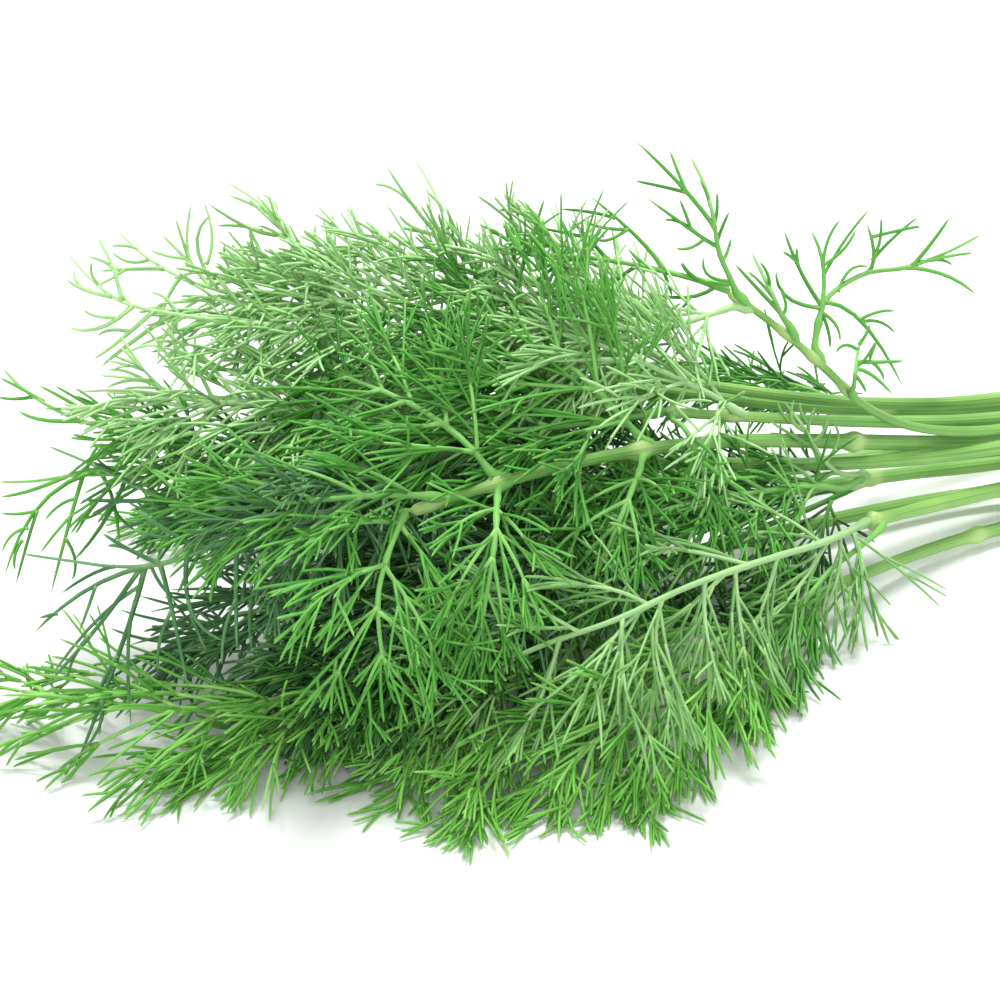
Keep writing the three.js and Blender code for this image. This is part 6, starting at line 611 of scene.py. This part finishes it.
def make_stem(name, st):
    rnd = random.Random("stem" + name)
    at = smooth_path(st["path"])
    path = np.asarray(st["path"])
    length = float(np.linalg.norm(np.diff(path, axis=0), axis=1).sum())
    m = int(length / 0.9)
    s = np.linspace(0, 1, m)
    pts = np.array([at(x)[0] for x in s])
    t, n, b = frames(pts)
    ang = np.arange(24) * 2 * math.pi / 24
    ridge = 1 + 0.020 * np.cos(12 * ang + 0.0)
    rad = st["cut"] + (st["tip"] - st["cut"]) * s
    pale = np.zeros(m)
    for k in knots[name]:
        d = (s - k) * length
        swell = np.exp(-(d / 1.3) ** 2)
        rad = rad * (1 + 0.40 * swell)
        pale = np.maximum(pale, np.exp(-(d / 1.9) ** 2))
    # slow irregular thickness
    ph = rnd.uniform(0, 6)
    rad = rad * (1 + 0.03 * np.sin(s * 23 + ph) + 0.02 * np.sin(s * 61 + 2 * ph))
    end = (1 - s) * length
    rad = rad * np.clip(np.sqrt(np.maximum(1 - ((1.6 - end) / 1.7).clip(0) ** 2, 0.02)), 0.12, 1)
    oval = 1 + 0.05 * math.sin(ph)
    P = pts[:, None] + rad[:, None, None] * ridge[None, :, None] * (
        np.cos(ang)[None, :, None] * n[:, None] * oval + np.sin(ang)[None, :, None] * b[:, None] / oval)
    B = Build()
    # cut face: a slanted, slightly hollow cut with a paler core
    slant = rnd.uniform(-0.35, 0.35), rnd.uniform(-0.35, 0.35)
    inner = []
    for f, depth in ((0.10, 0.55), (0.34, 0.50), (0.50, 0.20), (0.86, 0.05), (0.97, 0.0)):
        ring = pts[0] + f * (P[0] - pts[0]) + t[0] * depth
        inner.append(ring)
    def slope(ring):
        o = ring - pts[0]
        return ring + (o @ n[0] * slant[0] + o @ b[0] * slant[1])[:, None] * t[0]
    inner = [slope(r) for r in inner]
    P[0] = slope(P[0])
    P[1] = pts[1] + (P[1] - pts[1])
    rings = np.concatenate([np.array(inner), P])
    rings[..., 2] = np.maximum(rings[..., 2], 0.02)
    att = np.concatenate([[2.0, 1.95, 1.6, 1.35, 0.5], pale])
    mm = len(rings)
    vv = np.concatenate([np.linspace(0.0, 0.02, 5, endpoint=False), 0.02 + 0.98 * s])
    uu = np.arange(25) / 24
    uv = np.stack(np.broadcast_arrays(uu[None, :], vv[:, None]), -1).copy()
    B.rings(rings, uv, att)
    ob = B.finish(name + "_ribbed", STEM_MAT, name)
    return ob


# ------------------------------------------------------------------ leaves
THREAD = dict(sides=4, ts=[0, .25, .50, .75, .93, 1.0], prof=[1.08, 1.0, 1.0, .97, .82, .24])
POINTED = dict(sides=6, ts=[0, .08, .22, .40, .58, .76, .90, 1.0], prof=[1.25, 1.03, 1.0, 1.0, .98, .92, .78, .18])
RIB = dict(sides=6, ts=[0, .10, .32, .55, .78, 1.0], prof=[1.35, 1.02, 1.0, .98, .92, .70])


def bezier(p0, p1, p2, t):
    q = (1 - t) ** 2 * p0 + 2 * t * (1 - t) * p1 + t**2 * p2
    d = 2 * (1 - t) * (p1 - p0) + 2 * t * (p2 - p1)
    return q, unit(d)


def make_leaf(name, lf):
    rnd = random.Random("leaf" + name)
    g = rnd.gauss
    path = [np.array(p, float) for p in lf["path"]]
    stem = smooth_path(STEMS[lf["stem"]]["path"])
    root, root_dir = stem(lf["at"])
    at = smooth_path(path)
    face = np.array(lf["face"], float)
    length = float(np.linalg.norm(np.diff(np.array(path), axis=0), axis=1).sum())
    long = name in LONG
    floor_sag = lf["sag"]
    dense, reach = HABIT.get(name, (1.0, 1.0))
    down = np.array([0.0, 0.0, -1.0])
    leaf_tint = rnd.uniform(-0.10, 0.10)
    ribs, threads, pointed = [], [], []

    def lay(p, low=0.30):
        q = p.copy()
        if q[2] < low:
            q[2] = low + 0.5 * rnd.random()
        return q

    def thread(p0, d, size, bend, r, tint):
        """One thread from p0 towards d, curving towards bend."""
        e = unit(d + bend)
        p1 = p0 + 0.5 * size * d
        p2 = p1 + 0.5 * size * e
        p1, p2 = lay(p1), lay(p2)
        threads.append((p0, p1, p2, r, r * 0.90, tint))
        return p1, p2

    def tint(base):
        return min(0.835, max(0.0, base + g(0, 0.13)))

    def branch(p0, d, nrm, size, base, depth):
        """A thread with its own side threads."""
        r = (0.25, 0.235, 0.22)[depth]
        bend = np.array([g(0, .15), g(0, .15), g(0, .12)]) + (0.05 + 0.55 * floor_sag * min(1, size / 10)) * down
        tb = tint(base)
        p1, p2 = thread(p0, d, size, bend, r, tb)
        if depth >= 2 or size < 4.5:
            return
        if depth == 0:
            forks = [(0.28 + g(0, .04), 0.80), (0.56 + g(0, .04), 0.45)] if size > 7.5 else [(0.40 + g(0, .05), 0.70)]
        else:
            forks = [(0.42, 0.30)]
        spread = 16 if long else 21
        side = rnd.choice((1, -1))
        for f, chance in forks:
            q, tq = bezier(p0, p1, p2, f)
            sq = unit(np.cross(nrm, tq))
            nq = np.cross(tq, sq)
            side = -side
            for sd in (side, -side):
                if rnd.random() > (chance if sd == side else chance * 0.35):
                    continue
                a = math.radians(spread + g(0, 7))
                b = math.radians(g(0, 18))
                dd = math.cos(a) * tq + sd * math.sin(a) * sq
                dd = unit(math.cos(b) * dd + math.sin(b) * nq)
                branch(q, dd, nrm, size * (1 - f) * rnd.uniform(0.80, 1.15), base, depth + 1)

    def own_way(t, *c):
        """A rib that takes its own way: a bend and an end.  If the leaf's threads
        are listed one by one the rib is bare here, and otherwise it's set with
        threads like any other."""
        p0, along = at(t)
        through, p2 = np.array(c[:3]), np.array(c[3:])
        p1 = 2 * through - 0.5 * (p0 + p2)
        p1[2] = max(p1[2], 0.35)
        size = float(np.linalg.norm(p2 - p0))
        if lf["threads"]:
            pointed.append((p0, p1, p2, 0.32 + 0.003 * size, 0.25, tint(0.42 + leaf_tint)))
            return
        up = unit(face - (face @ unit(p2 - p0)) * unit(p2 - p0))
        set_with_threads(p0, p1, p2, size, up)

    def pinna(t, side, size, angle, lift):
        p0, along = at(t)
        across = unit(np.cross(face, along))
        up = np.cross(along, across)
        a, b = math.radians(angle), math.radians(lift)
        d = math.cos(b) * (math.cos(a) * along + side * math.sin(a) * across) + math.sin(b) * up
        e = unit(d + 0.30 * along + floor_sag * down)
        p1 = p0 + 0.5 * size * d
        p2 = p1 + 0.5 * size * e
        p1, p2 = lay(p1, 0.5), lay(p2, 0.5)
        set_with_threads(p0, p1, p2, size, up)

    def set_with_threads(p0, p1, p2, size, up):
        r0 = 0.27 + 0.005 * size
        base = 0.42 + leaf_tint + g(0, 0.09)
        ribs.append((p0, p1, p2, r0, 0.24, 0.87 + 0.06 * rnd.random()))
        roll = math.radians(g(0, 30))
        n = max(2, int(round(size / (4.9 if long else 4.4) * dense)))
        for j in range(n):
            s = 0.12 + 0.78 * (j / (n - 1)) ** 0.95 + g(0, 0.03)
            q, tq = bezier(p0, p1, p2, s)
            sq = unit(np.cross(up * math.cos(roll) + np.cross(tq, up) * math.sin(roll), tq))
            nq = np.cross(tq, sq)
            for sd in (1, -1):
                if rnd.random() > 0.90:
                    continue
                grow = (8.4 + 0.34 * size * (1 - s)) * (1.25 if long else 1.0) * reach
                ln = grow * rnd.uniform(0.75, 1.25)
                aa = math.radians((21 if long else 29) - 8 * s + g(0, 6))
                bb = math.radians(g(0, 20))
                dd = math.cos(bb) * (math.cos(aa) * tq + sd * math.sin(aa) * sq) + math.sin(bb) * nq
                branch(q, unit(dd), nq, ln, base, 0)
        # the rib runs out into threads of its own
        q, tq = bezier(p0, p1, p2, 0.96)
        branch(q, tq, up, (7.5 if long else 6.2) * reach * rnd.uniform(.85, 1.2), base, 0)

    for p in lf["pinnae"]:
        if len(p) == 7:
            own_way(*p)
        else:
            pinna(*p)
    for c in lf["threads"]:
        p0, through, p2 = np.array(c[:3]), np.array(c[3:6]), np.array(c[6:])
        p1 = 2 * through - 0.5 * (p0 + p2)
        p1[2] = max(p1[2], 0.30)
        pointed.append((p0, p1, p2, 0.28, 0.22, tint(0.45 + leaf_tint)))
    # the midrib's end
    q, tq = at(0.99)
    up = unit(np.cross(tq, np.cross(face, tq)))
    drawn = len(lf["threads"]) > 0
    if not drawn:
        branch(q, tq, up, 6.5 * rnd.uniform(.9, 1.2), 0.45 + leaf_tint, 0)
    for t in (() if drawn else (0.90, 0.955)):
        q, tq = at(t)
        sq = unit(np.cross(face, tq))
        for sd in (1, -1):
            a = math.radians(38 + g(0, 5))
            branch(q, unit(math.cos(a) * tq + sd * math.sin(a) * sq + 0.2 * g(0, 1) * up), up, 6.0 * rnd.uniform(.8, 1.2), 0.45 + leaf_tint, 0)

    B = Build()
    # midrib with its stalk grown into the stem
    m = max(12, int(length / 1.6))
    s = np.linspace(0, 1, m)
    pts = [at(x)[0] for x in s]
    tip_leaf = lf["at"] > 0.999
    if tip_leaf:
        head = [root - root_dir * 1.4, root - root_dir * 0.4]
    else:
        # the sheath leaves the stem at a shallow slant, clasping it
        out = pts[0] - root
        up_stem = root_dir if root_dir @ (pts[3] - pts[0]) > 0 else -root_dir
        head = [root - 3.4 * up_stem, root - 1.3 * up_stem + 0.55 * out]
        bend = smooth_path([head[0], head[1], pts[0] + 0.15 * up_stem, pts[2], pts[4]])
        pts = [bend(x)[0] for x in np.linspace(0.5, 1.0, 9)] + pts[5:]
        head = [bend(x)[0] for x in np.linspace(0.0, 0.42, 5)]
    pts = np.array(head + pts)
    tt, nn, bb = frames(pts)
    dist = np.concatenate([[0], np.cumsum(np.linalg.norm(np.diff(pts, axis=0), axis=1))])
    x = dist / dist[-1]
    rad = 0.92 * lf["rib"] * (1 - (0.60 if drawn else 0.48) * x) * (1 + 0.55 * np.exp(-((dist - 2.4) / 2.2) ** 2))
    rad *= np.clip(0.25 + dist / 2.6, 0, 1)
    for p in lf["pinnae"]:
        d = (x - (p[0] * 0.985 + 0.015)) * dist[-1]
        rad = rad * (1 + 0.14 * np.exp(-(d / 0.9) ** 2))
    rad[-1] *= 0.3
    if drawn:
        rad *= np.clip((dist[-1] - dist) / 3.0 + 0.35, 0, 1)
    ang = np.arange(10) * 2 * math.pi / 10
    rg = 1 + 0.05 * np.cos(5 * ang)
    ringpts = pts[:, None] + rad[:, None, None] * rg[None, :, None] * (np.cos(ang)[None, :, None] * nn[:, None] + np.sin(ang)[None, :, None] * bb[:, None])
    ringpts[..., 2] = np.maximum(ringpts[..., 2], 0.03)
    vv = np.concatenate([[0.0, 0.06], np.linspace(0.12, 0.85, len(pts) - 2)])
    uu = 0.945 + np.arange(11) / 10 * 0.045
    uv = np.stack(np.broadcast_arrays(uu[None, :], vv[:, None]), -1).copy()
    B.rings(ringpts, uv)
    for data, form in ((ribs, RIB), (threads, THREAD), (pointed, POINTED)):
        if not data:
            continue
        cols = list(zip(*data))
        B.strands(np.array(cols[0]), np.array(cols[1]), np.array(cols[2]), np.array(cols[3]), np.array(cols[4]), np.array(cols[5]), form["sides"], form["ts"], form["prof"])
    ob = B.finish(name + "_feathery", MATS[lf["tint"]], name)
    return len(threads)


for k, st in STEMS.items():
    make_stem(k, st)
total = sum(make_leaf(k, lf) for k, lf in LEAVES.items())

# ------------------------------------------------------------------ set
scene = bpy.context.scene
floor_mesh = bpy.data.meshes.new("floor")
S = 6.0
floor_mesh.from_pydata([(-S, -S, 0), (S, -S, 0), (S, S, 0), (-S, S, 0)], [], [(0, 1, 2, 3)])
floor = bpy.data.objects.new("floor", floor_mesh)
scene.collection.objects.link(floor)
fm = bpy.data.materials.new("floor_white")
fm.use_nodes = True
fb = fm.node_tree.nodes["Principled BSDF"]
fb.inputs["Base Color"].default_value = (.90, .91, .90, 1)
fb.inputs["Roughness"].default_value = 0.75
fb.inputs["Specular IOR Level"].default_value = 0.2
floor_mesh.materials.append(fm)

world = bpy.data.worlds.new("studio")
world.use_nodes = True
world.node_tree.nodes["Background"].inputs["Color"].default_value = (1, 1, 1, 1)
world.node_tree.nodes["Background"].inputs["Strength"].default_value = 0.70
scene.world = world


def area(name, loc, target, size, power, colour=(1, 1, 1)):
    from mathutils import Vector
    li = bpy.data.lights.new(name, "AREA")
    li.shape, li.size, li.energy, li.color = "DISK", size, power, colour
    ob = bpy.data.objects.new(name, li)
    ob.location = loc
    ob.rotation_euler = (Vector(target) - Vector(loc)).to_track_quat("-Z", "Y").to_euler()
    scene.collection.objects.link(ob)
    return ob


area("key", (0.10, 0.30, 1.25), (-0.05, 0, 0.02), 0.50, 18.0)
area("front", (-0.55, -0.95, 0.80), (-0.05, 0, 0.02), 0.7, 5.0)

# ------------------------------------------------------------------ camera
from mathutils import Matrix, Vector
AZ, EL, DIST, TARGET, F_PX = math.radians(-22), math.radians(28), 420.0, np.array([0, 0, 20.0]), 2814.0
back = np.array([math.sin(AZ) * math.cos(EL), -math.cos(AZ) * math.cos(EL), math.sin(EL)])
place = (TARGET + DIST * back - ORIGIN) * MM
cd = bpy.data.cameras.new("camera")
cd.sensor_width, cd.lens = 36.0, F_PX * 36.0 / 1000.0
cd.clip_start, cd.clip_end = 0.02, 50
cam = bpy.data.objects.new("camera", cd)
zc = Vector(back)
xc = Vector((math.cos(AZ), math.sin(AZ), 0))
yc = zc.cross(xc)
mw = Matrix((xc, yc, zc)).transposed().to_4x4()
mw.translation = Vector(place)
cam.matrix_world = mw
scene.collection.objects.link(cam)
scene.camera = cam
scene.view_settings.view_transform = "Standard"
